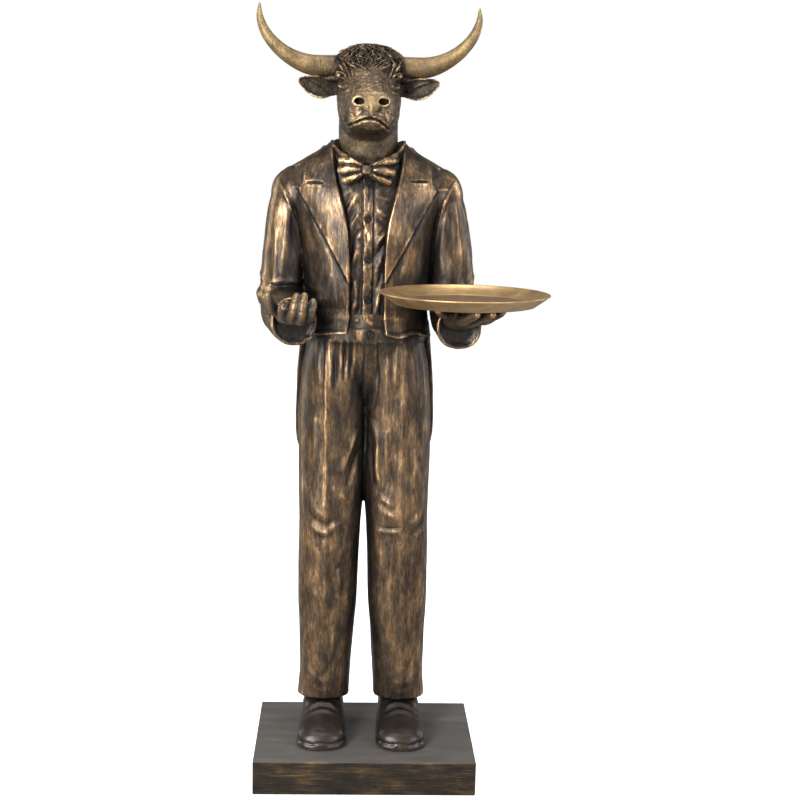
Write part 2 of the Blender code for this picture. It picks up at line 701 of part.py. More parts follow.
def tray(collection):
    """A round tray with a flared wall and a small lip, turned from one profile."""
    floor_radius = TRAY_RADIUS - TRAY_FLARE
    profile = (
        (0, TRAY_WALL),
        (floor_radius - TRAY_WALL, TRAY_WALL),
        (TRAY_RADIUS - TRAY_WALL - TRAY_LIP, TRAY_DEPTH - TRAY_LIP),
        (TRAY_RADIUS - TRAY_LIP, TRAY_DEPTH),
        (TRAY_RADIUS, TRAY_DEPTH - TRAY_LIP / 2),
        (TRAY_RADIUS - TRAY_LIP / 2, TRAY_DEPTH - TRAY_WALL),
        (floor_radius, 0),
        (0, 0),
    )
    mesh = bpy.data.meshes.new("tray")
    mesh.from_pydata([(x, 0, z) for x, z in profile], [(i, i + 1) for i in range(len(profile) - 1)], [])
    dish = bpy.data.objects.new("tray", mesh)
    seat = PLINTH_HEIGHT + SEAT_GAP + TRAY_SEAT * UNIT + SEAT_GAP
    dish.location = (FIGURE_OFFSET + TRAY_SIDE * UNIT, -TRAY_BACK * UNIT - TRAY_RADIUS, seat)
    collection.objects.link(dish)
    screw = dish.modifiers.new("turned", "SCREW")
    screw.steps = screw.render_steps = TRAY_SEGMENTS
    screw.use_merge_vertices = True
    screw.merge_threshold = 0.00005
    screw.use_smooth_shade = True
    return dish


def move_to(obj, collection):
    """Takes an object out of its collections and puts it in this one."""
    for old in list(obj.users_collection):
        old.objects.unlink(obj)
    collection.objects.link(obj)


def paint(obj, name, colour, roughness, metallic):
    """Gives the object one plain finish."""
    material = bpy.data.materials.new(name)
    material.use_nodes = True
    shader = material.node_tree.nodes["Principled BSDF"]
    shader.inputs["Base Color"].default_value = (*colour, 1.0)
    shader.inputs["Roughness"].default_value = roughness
    shader.inputs["Metallic"].default_value = metallic
    obj.data.materials.clear()
    obj.data.materials.append(material)


def main():
    """Builds the statue's three pieces."""
    for obj in list(bpy.data.objects):
        bpy.data.objects.remove(obj)
    statue = bpy.data.collections.new("bull_waiter")
    bpy.context.scene.collection.children.link(statue)
    paint(cast_figure(statue), "bronzed resin", (0.16, 0.115, 0.075), 0.42, 0.7)
    paint(plinth(statue), "dark bronzed resin", (0.075, 0.065, 0.055), 0.55, 0.4)
    paint(tray(statue), "gilt metal", (0.42, 0.29, 0.13), 0.34, 0.9)


main()
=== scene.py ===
"""A bull-headed waiter in a tailcoat, cast in resin and rubbed with gilt, on a plinth with a round tray.

The figure is modelled again at a finer grain over its solid. Its forms are drawn in its own
millimetres, from the soles up, and put in place in metres at the end.
"""

import logging
import math
from dataclasses import dataclass, field
from enum import Enum
from typing import Callable, Iterable

import bmesh
import bpy
import numpy as np
from bpy.types import ID, Material, Mesh, Node, NodeSocket, NodeTree, Object
from mathutils import Matrix, Vector


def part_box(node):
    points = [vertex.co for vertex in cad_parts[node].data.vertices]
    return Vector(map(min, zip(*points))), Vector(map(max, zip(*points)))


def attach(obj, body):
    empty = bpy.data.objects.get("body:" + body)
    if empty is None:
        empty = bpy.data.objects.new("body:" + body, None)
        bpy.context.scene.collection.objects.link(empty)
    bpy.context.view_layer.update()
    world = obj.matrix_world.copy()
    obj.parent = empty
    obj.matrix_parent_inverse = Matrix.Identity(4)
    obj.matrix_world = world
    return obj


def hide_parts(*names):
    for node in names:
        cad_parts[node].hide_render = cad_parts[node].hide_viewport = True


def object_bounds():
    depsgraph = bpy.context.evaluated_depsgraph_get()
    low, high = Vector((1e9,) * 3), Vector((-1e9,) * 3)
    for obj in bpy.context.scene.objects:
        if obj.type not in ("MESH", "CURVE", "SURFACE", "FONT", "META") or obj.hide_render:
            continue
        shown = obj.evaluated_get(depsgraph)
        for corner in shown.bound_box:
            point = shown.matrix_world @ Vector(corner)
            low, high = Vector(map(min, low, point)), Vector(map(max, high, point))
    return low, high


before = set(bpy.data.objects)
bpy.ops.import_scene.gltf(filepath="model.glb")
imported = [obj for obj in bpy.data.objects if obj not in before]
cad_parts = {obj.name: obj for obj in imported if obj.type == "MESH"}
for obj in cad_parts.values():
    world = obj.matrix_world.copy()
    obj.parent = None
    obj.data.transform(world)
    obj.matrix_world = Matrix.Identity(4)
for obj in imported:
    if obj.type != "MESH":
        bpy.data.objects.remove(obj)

CAD_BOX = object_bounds()
LOG = logging.getLogger("statue")

# The figure's height in metres, and in the units that its forms are drawn in
FIGURE_HEIGHT = 0.7132
FIGURE_UNITS = 716.0
UNIT = FIGURE_HEIGHT / FIGURE_UNITS
# How far the figure stands and leans to its right
FIGURE_OFFSET = -0.0035
FIGURE_LEAN = 0.0055
SEAT_GAP = 0.0003
SOLE_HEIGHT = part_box("plinth")[1][2] + SEAT_GAP
RING_SIDES = 96
# Shares of the radius at which the rings of a limb's domed end stand
DOME_STEPS = (0.45, 0.8, 0.97)
# A ringed button from its edge inward: share of the radius, and height in millimetres
BUTTON_PROFILE = (
    (1, -1.2), (1, 0.5), (0.86, 1), (0.7, 0.95), (0.58, 0.25), (0.34, 0.25), (0.26, 0.8), (0.1, 0.9),
)
# A stroke works where the skin faces it at least this much
LEAST_FACING = 0.12
NOISE_CELLS = 32
SKY_LOOKS = 72


class Facing(Enum):
    """The direction that a stroke of the modelling tool works from, as an axis and its sign."""

    FRONT = (1, -1)
    BACK = (1, 1)
    RIGHT = (0, -1)
    LEFT = (0, 1)
    TOP = (2, 1)


class Region(Enum):
    """A part of the casting with its own finish, and its material slot's place."""

    CLOTH = 0
    SHIRT = 1
    HIDE = 2
    HAND = 3
    SHOE = 4
    HAIR = 5


# Drawing tools


def rows_at(rows: Iterable, places: np.ndarray) -> np.ndarray:
    """Reads a table of sections smoothly.

    Args:
        rows: Rows whose first column is the station.
        places: Stations to read.

    Returns:
        The other columns at each place.
    """
    table = np.array(rows, float)
    table = table[np.argsort(table[:, 0])]
    keys, values = table[:, 0], table[:, 1:]
    slopes = np.gradient(values, keys, axis=0)
    places = np.clip(places, keys[0], keys[-1])
    left = np.clip(np.searchsorted(keys, places, side="right") - 1, 0, len(keys) - 2)
    span = (keys[left + 1] - keys[left])[:, None]
    t = (places - keys[left])[:, None] / span
    rise = values[left] * (1 + 2 * t) * (1 - t) ** 2 + values[left + 1] * t * t * (3 - 2 * t)
    return rise + slopes[left] * span * t * (1 - t) ** 2 + slopes[left + 1] * span * t * t * (t - 1)


def steps(low: float, high: float, step: float) -> np.ndarray:
    """Even stations from low to high, both included."""
    return np.linspace(low, high, max(2, round(abs(high - low) / step) + 1))


def power(value: np.ndarray, squareness: np.ndarray | float) -> np.ndarray:
    """The signed power that squares off a circle's sine or cosine."""
    return np.sign(value) * np.abs(value) ** (2.0 / squareness)


def smoothed_path(path: Iterable, step: float) -> np.ndarray:
    """A smooth line through the rows of a path, at even steps along it.

    Args:
        path: Rows of two or three coordinates, then any other values.
        step: Distance between the points returned.

    Returns:
        Rows with the same columns.
    """
    table = np.array(path, float)
    size = min(3, table.shape[1])
    along = np.concatenate([[0], np.cumsum(np.linalg.norm(np.diff(table[:, :size], axis=0), axis=1))])
    return rows_at(np.column_stack([along, table]), steps(0, along[-1], step))


def full_turns(count: int) -> np.ndarray:
    """Even turns round a whole circle."""
    return np.linspace(0, 2 * np.pi, count, endpoint=False)


def unit(rows: np.ndarray) -> np.ndarray:
    """Each row at a length of one."""
    return rows / np.linalg.norm(rows, axis=1)[:, None]


@dataclass
class Form:
    """A closed skin in figure millimetres."""

    points: np.ndarray
    faces: list

    def mirrored(self) -> "Form":
        """The same skin on the other side of the figure."""
        return Form(self.points * (-1, 1, 1), [face[::-1] for face in self.faces])

    def pair(self) -> list["Form"]:
        """This skin and its mirror image."""
        return [self, self.mirrored()]


def loft(rings: Iterable) -> Form:
    """Joins closed rings into one skin with a cap on each end.

    Args:
        rings: Rings of points, each of the same count.

    Returns:
        The closed skin.
    """
    rings = np.asarray(rings, float)
    count, sides = rings.shape[:2]
    base = np.arange(count - 1)[:, None] * sides
    here = np.arange(sides)[None, :]
    after = (here + 1) % sides
    quads = np.stack([base + here, base + after, base + sides + after, base + sides + here], -1)
    faces = [tuple(face) for face in quads.reshape(-1, 4).tolist()]
    faces.append(tuple(range(sides))[::-1])
    faces.append(tuple(range((count - 1) * sides, count * sides)))
    return Form(rings.reshape(-1, 3), faces)


def rings_along(rows: Iterable, reference: tuple, sides: int, squareness: float, step: float) -> np.ndarray:
    """Rings square to a path.

    Args:
        rows: Rows of x, y, z, half size along the reference and half size across it.
        reference: The direction that each ring's first axis keeps near.
        sides: Points in a ring.
        squareness: 2 is an ellipse and more is boxier.
        step: Distance between rings.

    Returns:
        An array of rings.
    """
    values = smoothed_path(rows, step)
    tangents = unit(np.gradient(values[:, :3], axis=0))
    turns = full_turns(sides)
    axis = np.array(reference, float)
    side = unit(axis - tangents * (tangents @ axis)[:, None])
    rise = np.cross(tangents, side)
    spread = values[:, 3, None] * power(np.cos(turns), squareness)
    lifted = values[:, 4, None] * power(np.sin(turns), squareness)
    return values[:, None, :3] + spread[..., None] * side[:, None] + lifted[..., None] * rise[:, None]


def limb(path: Iterable, sides: int = 16, step: float = 1.5) -> Form:
    """A round limb with domed ends.

    Args:
        path: Rows of x, y, z and radius.
        sides: Points in a ring.
        step: Distance between rings.

    Returns:
        The limb's skin.
    """
    rows = smoothed_path(path, step)
    tangents = unit(np.gradient(rows[:, :3], axis=0))
    axis = np.eye(3)[np.argmin(np.abs(tangents).max(axis=0))]
    side = unit(axis - tangents * (tangents @ axis)[:, None])
    rise = np.cross(tangents, side)
    turns = full_turns(sides)
    circle = np.cos(turns)[None, :, None] * side[:, None] + np.sin(turns)[None, :, None] * rise[:, None]
    rings = list(rows[:, None, :3] + rows[:, 3, None, None] * circle)
    for share in DOME_STEPS:
        inward = math.sqrt(1 - share * share)
        rings.append(rows[-1, :3] + rows[-1, 3] * (inward * circle[-1] + share * tangents[-1]))
        rings.insert(0, rows[0, :3] + rows[0, 3] * (inward * circle[0] - share * tangents[0]))
    return loft(rings)


def ball(middle: tuple, radii: tuple, lean: float = 0.0) -> Form:
    """A ball stretched to three radii.

    Args:
        middle: Its centre.
        radii: Its radius along each axis.
        lean: The angle that it leans about X, in radians.

    Returns:
        The ball's skin.
    """
    turns = full_turns(32)
    tilts = np.linspace(-0.5 * np.pi, 0.5 * np.pi, 20)[1:-1]
    flat = np.cos(tilts)[:, None]
    rise = np.sin(tilts)[:, None] + 0 * flat * turns
    rings = np.stack([flat * np.cos(turns), flat * np.sin(turns), rise], -1)
    rings = rings * np.array(radii)
    turn = np.array([[1, 0, 0], [0, math.cos(lean), -math.sin(lean)], [0, math.sin(lean), math.cos(lean)]])
    return loft(rings @ turn.T + np.array(middle))


def ring_button(middle: np.ndarray, normal: tuple, radius: float) -> list[Form]:
    """A flat button with a raised rim and a raised middle.

    Args:
        middle: The centre of its seat.
        normal: The way it faces.
        radius: Its radius.

    Returns:
        The button's skin, alone in a list.
    """
    axis = np.array(normal, float) / np.linalg.norm(normal)
    side = np.cross(axis, (0, 0, 1.0)) if abs(axis[2]) < 0.9 else np.array((1.0, 0, 0))
    side /= np.linalg.norm(side)
    rise = np.cross(side, axis)
    turns = full_turns(28)
    circle = np.cos(turns)[:, None] * side + np.sin(turns)[:, None] * rise
    rings = [np.array(middle) + radius * out * circle + axis * up for out, up in BUTTON_PROFILE]
    return [loft(rings)]


def value_noise(points: np.ndarray, scale: tuple, seed: int) -> np.ndarray:
    """Smooth noise from -1 to 1.

    Args:
        points: Where to read it.
        scale: The size of its features along each axis.
        seed: The draw of its lattice.

    Returns:
        One value for each point.
    """
    lattice = np.random.default_rng(seed).uniform(-1, 1, (NOISE_CELLS, NOISE_CELLS, NOISE_CELLS))
    place = points / np.array(scale, float) + 1000.0
    cell = np.floor(place).astype(int)
    t = place - cell
    t = t * t * t * (t * (6 * t - 15) + 10)
    total = np.zeros(len(points))
    for corner in range(8):
        bits = np.array([(corner >> k) & 1 for k in range(3)])
        weight = np.prod(np.where(bits, t, 1 - t), axis=1)
        index = (cell + bits) % NOISE_CELLS
        total += weight * lattice[index[:, 0], index[:, 1], index[:, 2]]
    return total


# Tools that work the surface


@dataclass(frozen=True)
class Stroke:
    """A ridge (height above 0) or a groove drawn on the surface along a line.

    The line holds the two coordinates across its facing: x and z from the front or back,
    y and z from a side, x and y from the top.
    """

    line: Iterable
    width: float
    height: float
    facing: Facing = Facing.FRONT
    reach: tuple = (-400.0, 400.0)
    taper: bool = True

    def pressed(self, points: np.ndarray, normals: np.ndarray) -> np.ndarray:
        """Works the surface.

        Args:
            points: The skin's points.
            normals: The skin's normal at each point.

        Returns:
            How far each point moves along its normal.
        """
        axis, sign = self.facing.value
        across = [k for k in range(3) if k != axis]
        path = smoothed_path(self.line, min(1.0, self.width * 0.6))
        low, high = path.min(axis=0) - 3 * self.width, path.max(axis=0) + 3 * self.width
        flat = points[:, across]
        near = (flat > low).all(axis=1) & (flat < high).all(axis=1)
        near &= normals[:, axis] * sign > LEAST_FACING
        near &= (points[:, axis] > self.reach[0]) & (points[:, axis] < self.reach[1])
        index = np.flatnonzero(near)
        moved = np.zeros(len(points))
        share = np.linspace(0, 1, len(path))
        strength = np.sin(np.pi * share) ** 0.5 if self.taper else np.ones(len(path))
        for chunk in np.array_split(index, max(1, len(index) * len(path) // 3_000_000)):
            gaps = np.linalg.norm(flat[chunk, None] - path[None], axis=2)
            best = gaps.argmin(axis=1)
            gap = gaps[np.arange(len(chunk)), best]
            moved[chunk] = self.height * strength[best] * np.exp(-((gap / self.width) ** 2))
        return moved


def drawn(
    rows: Iterable,
    facing: Facing = Facing.FRONT,
    scale: float = 1.0,
    taper: bool = True,
    mirrored: bool = False,
) -> list[Stroke]:
    """Strokes from rows of a table.

    Args:
        rows: Rows of the line's coordinates, two to a point, then its width and its height.
        facing: The way that the surface worked on faces.
        scale: A factor on the heights.
        taper: Whether the strokes fade at their ends.
        mirrored: Whether each stroke is also drawn on the other side.

    Returns:
        The strokes.
    """
    made = []
    for *values, width, height in rows:
        line = np.reshape(values, (-1, 2))
        for sign in (1, -1) if mirrored else (1,):
            made.append(Stroke(line * (sign, 1), width, height * scale, facing, taper=taper))
    return made


@dataclass(frozen=True)
class Ripple:
    """Noise in the surface, such as drape or the grain of a hide."""

    scale: tuple
    amount: float
    seed: int
    shear: float = 0.0
    sharp: bool = False

    def pressed(self, points: np.ndarray) -> np.ndarray:
        """Works the surface.

        Args:
            points: The skin's points.

        Returns:
            How far each point moves along its normal.
        """
        place = points.copy()
        place[:, 0] += self.shear * place[:, 2] * np.sign(place[:, 0])
        noise = value_noise(place, self.scale, self.seed)
        if self.sharp:
            noise = 1 - 2.2 * np.abs(noise)
        return self.amount * noise


@dataclass
class Lump:
    """Overlapping forms that are fused, worked over and thinned to a count of triangles."""

    name: str
    region: Region
    voxel: float
    triangles: int
    forms: list
    strokes: list = field(default_factory=list)
    ripples: list = field(default_factory=list)
    gilt: Callable[[np.ndarray], np.ndarray] | None = None
    carve: Callable[[np.ndarray], np.ndarray] | None = None

    def fused(self) -> Object:
        """Joins the forms.

        Returns:
            One skin of even small faces, or the forms as they are where no grain is given.
        """
        lump = gathered(self.name, self.forms)
        if not self.voxel:
            return lump
        remesh = lump.modifiers.new("one skin", "REMESH")
        remesh.mode = "VOXEL"
        remesh.voxel_size = self.voxel
        apply_modifiers(lump)
        return lump

    def build(self) -> Object:
        """Fuses the forms, works the surface, stores its ridges and thins it.

        Returns:
            The finished lump.
        """
        lump = self.fused()
        mesh = lump.data
        points = read_vectors(mesh.vertices, "co")
        normals = read_vectors(mesh.vertex_normals, "vector")
        edges = read_edges(mesh)
        if self.carve:
            points = self.carve(points)
            normals = move_points(mesh, points)
        moved = np.zeros(len(points))
        for stroke in self.strokes:
            moved += stroke.pressed(points, normals)
        for ripple in self.ripples:
            moved += ripple.pressed(points)
        points = points + normals * moved[:, None]
        normals = move_points(mesh, points)
        rounds = 3 / max(self.voxel, 0.5) ** 2
        fine = height_over(points, normals, edges, max(2, round(2.2 * rounds)))
        broad = height_over(points, normals, edges, max(8, round(11 * rounds)))
        write_values(mesh, "ridge", fine)
        write_values(mesh, "crown", broad)
        write_values(mesh, "gilt", self.gilt(points) if self.gilt else np.zeros(len(points)))
        if self.voxel:
            thin = lump.modifiers.new("fewer faces", "DECIMATE")
            thin.ratio = min(1.0, self.triangles / (2 * len(mesh.polygons)))
            apply_modifiers(lump)
        set_regions(lump.data, self.region.value)
        LOG.info("%s: %d triangles", self.name, len(lump.data.polygons))
        return lump


def gathered(name: str, forms: list[Form]) -> Object:
    """Makes one mesh object of several forms.

    Args:
        name: The object's name.
        forms: The forms, in order.

    Returns:
        The object, linked to the scene.
    """
    points = np.concatenate([form.points for form in forms])
    starts = np.cumsum([0] + [len(form.points) for form in forms])
    faces = [tuple(i + start for i in face) for form, start in zip(forms, starts) for face in form.faces]
    mesh = bpy.data.meshes.new(name)
    mesh.from_pydata(points, [], faces)
    return placed(name, mesh)


def placed(name: str, data: ID) -> Object:
    """Puts new data into the scene.

    Args:
        name: The object's name.
        data: Its mesh, lamp or camera.

    Returns:
        The object.
    """
    made = bpy.data.objects.new(name, data)
    bpy.context.scene.collection.objects.link(made)
    return made


def set_regions(mesh: Mesh, regions: np.ndarray | int) -> None:
    """Gives every face the finish of its region, or each face that of its own."""
    mesh.polygons.foreach_set("material_index", np.full(len(mesh.polygons), regions, np.int32))


def move_points(mesh: Mesh, points: np.ndarray) -> np.ndarray:
    """Moves a mesh's points.

    Args:
        mesh: The mesh.
        points: The new place of each point.

    Returns:
        The new normal at each point.
    """
    mesh.vertices.foreach_set("co", points.astype(np.float32).ravel())
    mesh.update()
    return read_vectors(mesh.vertex_normals, "vector")


def apply_modifiers(obj: Object) -> None:
    """Leaves an object with the mesh that its modifiers make.

    Args:
        obj: The object.
    """
    bpy.context.view_layer.update()
    graph = bpy.context.evaluated_depsgraph_get()
    mesh = bpy.data.meshes.new_from_object(obj.evaluated_get(graph))
    obj.modifiers.clear()
    old, obj.data = obj.data, mesh
    bpy.data.meshes.remove(old)


def read_vectors(source: object, name: str) -> np.ndarray:
    """Reads a mesh's points or normals.

    Args:
        source: The collection that holds them.
        name: The property to read.

    Returns:
        One row for each item.
    """
    flat = np.empty(3 * len(source), np.float32)
    source.foreach_get(name, flat)
    return flat.reshape(-1, 3).astype(float)


def read_edges(mesh: Mesh) -> np.ndarray:
    """Reads a mesh's edges.

    Args:
        mesh: The mesh.

    Returns:
        The two ends of every edge.
    """
    flat = np.empty(2 * len(mesh.edges), np.int32)
    mesh.edges.foreach_get("vertices", flat)
    return flat.reshape(-1, 2)


def write_values(mesh: Mesh, name: str, values: np.ndarray) -> None:
    """Stores one number at each point."""
    layer = mesh.attributes.get(name) or mesh.attributes.new(name, "FLOAT", "POINT")
    layer.data.foreach_set("value", values.astype(np.float32))


def spread(values: np.ndarray, edges: np.ndarray, rounds: int) -> np.ndarray:
    """Averages each point's values with its neighbours', some rounds over.

    Args:
        values: One value or row for each point.
        edges: The two ends of every edge.
        rounds: How many times to average.

    Returns:
        The smoothed rows.
    """
    values = values.reshape(len(values), -1).copy()
    ends, others = np.concatenate([edges, edges[:, ::-1]]).T
    count = np.maximum(np.bincount(ends, minlength=len(values)), 1)[:, None]
    for _ in range(rounds):
        total = np.stack([np.bincount(ends, column[others], len(values)) for column in values.T], -1)
        values = 0.5 * values + 0.5 * total / count
    return values


def height_over(points: np.ndarray, normals: np.ndarray, edges: np.ndarray, rounds: int) -> np.ndarray:
    """How far each point stands above the smoothed skin round it."""
    return ((points - spread(points, edges, rounds)) * normals).sum(axis=1)


def openness(points: np.ndarray, normals: np.ndarray, cell: float = 2.6) -> np.ndarray:
    """Finds how open each point lies by looking at the whole from many sides, so that the finishes can paint
    shade into the closed places.

    Args:
        points: The skin's points.
        normals: The skin's normal at each point.
        cell: The width of the squares that each look is divided into.

    Returns:
        The share of the sky that each point sees, from 0 deep in a hollow to 1.
    """
    seen, most = np.zeros(len(points)), np.full(len(points), 1e-6)
    for k in range(SKY_LOOKS):
        up = 1 - 2 * (k + 0.5) / SKY_LOOKS
        turn = math.pi * (1 + 5 ** 0.5) * k
        flat = math.sqrt(1 - up * up)
        look = np.array([flat * math.cos(turn), flat * math.sin(turn), up])
        facing = np.clip(normals @ look, 0, None)
        side = np.cross(look, (0.3, 0.2, 0.9))
        side /= np.linalg.norm(side)
        rise = np.cross(side, look)
        a = np.floor((points @ side) / cell).astype(int)
        b = np.floor((points @ rise) / cell).astype(int)
        a, b = a - a.min(), b - b.min()
        key = a * (b.max() + 1) + b
        depth = points @ look
        front = np.full(key.max() + 1, -1e9)
        np.maximum.at(front, key, depth)
        seen += facing * np.clip(1.6 - (front[key] - depth) / (1.4 * cell), 0, 1)
        most += facing
    return seen / most


# Body sections, shared by the clothes


@dataclass(frozen=True)
class Sections:
    """A trunk as rows of height, middle y, half width, front depth, back depth and squareness."""

    rows: tuple

    def point(self, heights: np.ndarray, turns: np.ndarray, lift: float | np.ndarray = 0.0) -> np.ndarray:
        """Points on the trunk: turn 0 is the front middle, and pi / 2 is the +X side.

        Args:
            heights: The heights to read.
            turns: The turn of each point.
            lift: How far off the trunk.

        Returns:
            The points.
        """
        middle, half_width, front, back, squareness = rows_at(self.rows, heights).T
        x = (half_width + lift) * power(np.sin(turns), squareness)
        depth = np.where(np.cos(turns) > 0, front, back) + lift
        y = middle - depth * power(np.cos(turns), squareness)
        return np.stack([x, y, heights + 0 * x], -1)

    def turn_at(self, heights: np.ndarray, x: np.ndarray) -> np.ndarray:
        """The turn at which the trunk's front has this x.

        Args:
            heights: The heights to read.
            x: The x of each point.

        Returns:
            The turn at each height.
        """
        _, half_width, _, _, squareness = rows_at(self.rows, heights).T
        share = np.clip(np.abs(x) / half_width, 0, 1) ** (squareness / 2)
        return np.sign(x) * np.arcsin(share)

    def body(self, step: float = 2.0) -> Form:
        """The whole trunk as a closed skin.

        Args:
            step: Distance between rings.

        Returns:
            The skin.
        """
        heights = steps(self.rows[0][0], self.rows[-1][0], step)
        turns = full_turns(RING_SIDES)
        return loft([self.point(np.full(RING_SIDES, z), turns) for z in heights])

    def sheet(
        self,
        heights: np.ndarray,
        edge_a: np.ndarray,
        edge_b: np.ndarray,
        lift: float | np.ndarray,
        thickness: float,
        columns: int = 90,
    ) -> Form:
        """A thick sheet of cloth on the trunk, between two turns at each height.

        Args:
            heights: The heights to read.
            edge_a: The turn of one edge at each height.
            edge_b: The turn of the other edge.
            lift: How far off the trunk.
            thickness: How thick it is.
            columns: Points along a row.

        Returns:
            The sheet's skin.
        """
        lifts = np.broadcast_to(lift, heights.shape)
        rings = []
        for z, a, b, out in zip(heights, edge_a, edge_b, lifts):
            turns = np.linspace(a, b, columns)
            level = np.full(columns, z)
            outer = self.point(level, turns, out)
            inner = self.point(level, turns[::-1], out - thickness)
            rings.append(np.concatenate([outer, inner]))
        form = loft(rings)
        count = 2 * columns
        last = len(form.points) - count
        caps = []
        for i in range(columns - 1):
            low = (i, i + 1, count - 2 - i, count - 1 - i)
            caps += [low[::-1], tuple(last + k for k in low)]
        return Form(form.points, form.faces[:-2] + caps)


# Clothes


@dataclass(frozen=True)
class Trousers:
    """Creased trousers with pleats under the waist and bunched folds at the knees."""

    hips: Sections = Sections((
        (332, 12, 34, 14, 30, 2.2), (346, 12, 50, 21, 38, 2.3),
        (366, 12, 58, 31, 43, 2.4), (385, 11.5, 60, 38.5, 44, 2.4),
        (404, 10, 58, 41.5, 41, 2.4), (431, 9, 54, 39.5, 39, 2.4),
    ))
    leg: tuple = (
        (34, 38.5, 19, 26, 27, 25, 2.3), (60, 37, 17, 25.5, 27, 25, 2.3),
        (100, 36, 15, 27.2, 28, 27, 2.3), (140, 35.3, 13, 29.6, 29, 29, 2.3),
        (200, 34, 10, 30.3, 31, 30, 2.3), (235, 32.6, 10, 31.4, 33, 30, 2.3),
        (280, 31.6, 11, 33.2, 34, 35, 2.3), (330, 31, 12, 33.8, 37, 41, 2.3),
        (360, 29.5, 12, 33.5, 39, 42, 2.3), (385, 27.5, 12, 33, 40, 41, 2.3),
        (408, 24, 11, 31, 38.5, 38, 2.3),
    )
    crease: float = 1.1
    knee: tuple = (195, 262)
    knee_scale: float = 0.85
    fold_scale: float = 1.15
    folds: tuple = (
        (-38.3, 401, -37.9, 348, -37.5, 298, -37, 238, 1.2, 0.5),
        (36.2, 402, 36.2, 300, 36.2, 239, 1.2, 0.45),
        (-37.1, 212, -37.1, 188, -39.7, 124, -41.3, 45, 1.2, 0.25),
        (36.3, 212, 36.3, 189, 38.6, 125, 41, 45, 1.2, 0.25), (-45.5, 406, -45, 385, -44, 362, 2.2, 1.3),
        (-34.4, 406, -34, 384, -33.5, 350, 2, 1.3), (-23.6, 406, -23.6, 386, -24.5, 358, 1.9, 1.3),
        (-17.1, 406, -17.5, 388, -18.5, 364, 1.7, 1.1),
        (-10.9, 407, -11.2, 390, -12, 366, 1.9, 1), (20, 404, 21, 380, 20, 352, 2.2, 0.7),
        (29.5, 405, 29.5, 384, 28.5, 356, 2.2, 0.9), (46, 402, 47.5, 380, 48, 350, 2.4, 0.9),
        (54, 398, 56.5, 370, 58, 330, 2.4, 0.7), (-40, 405, -40.4, 385, -40.2, 366, 1.3, -1.3),
        (-29, 406, -29, 386, -29, 360, 1.5, -1.6), (-20.3, 406, -20.4, 388, -21.3, 366, 1.2, -1.4),
        (-14, 406, -14.2, 388, -15, 368, 1.1, -1.2), (4.9, 337, 2.5, 331, 2, 314, 1.5, 290, 1.6, -1.4),
        (-0.9, 408, -0.9, 346, 2.2, 335, 4.9, 332.6, 0.8, -1.2),
        (10.9, 408, 10.9, 350, 8.5, 339, 4.9, 332.6, 0.8, -1),
        (-53.7, 260.2, -49.3, 239, -37.6, 231.4, -27.8, 239, 3.6, 1.1),
        (-55, 250, -50, 230, -38.5, 223.5, -26, 231, 2.6, -0.9),
        (-53.5, 223.2, -49.1, 218.2, -36.1, 215.1, -30, 220.5, -19.1, 226.3, 2.6, 1.4),
        (-50, 211, -40, 208.5, -30, 213, -18, 219, 2.6, -0.8),
        (-13.3, 219.4, -18.9, 206.6, -24.4, 181.1, 3, 1.1),
        (-46, 200, -45, 185, -45.5, 160, 2.4, 1), (-24.5, 178, -24, 160, -25, 145, 2.6, 1.2),
        (14.8, 251.5, 22, 246, 30.6, 243, 2.4, 1.2),
        (12.2, 246.7, 20, 235, 30, 231.7, 38, 228.2, 2.8, 1.2),
        (14, 220.7, 26, 219.8, 38.1, 222, 1.6, -0.9),
        (12, 216.5, 21, 215.6, 29.7, 216, 38.2, 217.4, 1.8, 0.9),
        (62, 241, 52, 229, 41.1, 218.5, 2.8, 1.3), (61.5, 229, 55, 221, 46, 212, 2.1, -1.1),
        (60.6, 217.8, 56, 214, 51.6, 209.5, 2.1, 1.2), (17, 206, 17.5, 190, 19, 165, 2.4, 1),
        (47, 200, 48, 180, 47, 150, 2.4, 1.1), (28, 205, 27.5, 185, 28.5, 160, 2, 0.9),
        (-5.9, 318.7, -14.2, 296.6, -22.4, 275.3, 2.9, 1.8), (-4, 300, -11, 280, -16, 262, 2.2, -1.3),
        (6.8, 328, 12.7, 304.1, 12.3, 277.3, 17, 258, 2.9, 2),
        (4.5, 305, 7.5, 285, 10, 262, 2.2, -1.4), (-48, 330, -48, 300, -49, 275, 2.6, 0.9),
        (20, 318, 21.5, 290, 22, 268, 3, 1.1), (48, 300, 50, 280, 49.5, 258, 3, 1.1),
        (-30, 262, -24, 252, -16, 249, 2.4, 1), (-55, 75, -47, 62, -38, 57, -28, 63, 3.4, 0.7),
        (-52, 56, -42, 47, -30, 49, 2.8, 0.6), (25, 66, 35, 56, 45, 57, 56, 70, 3.4, 0.7),
        (28, 52, 40, 46, 52, 51, 2.8, 0.6), (-24, 90, -34, 70, -48, 58, 2.6, -0.5),
        (54, 88, 46, 70, 30, 58, 2.6, -0.5), (-28, 110, -30, 92, -33, 76, 2.6, 1),
        (52, 112, 50, 94, 47, 78, 2.6, 1),
    )

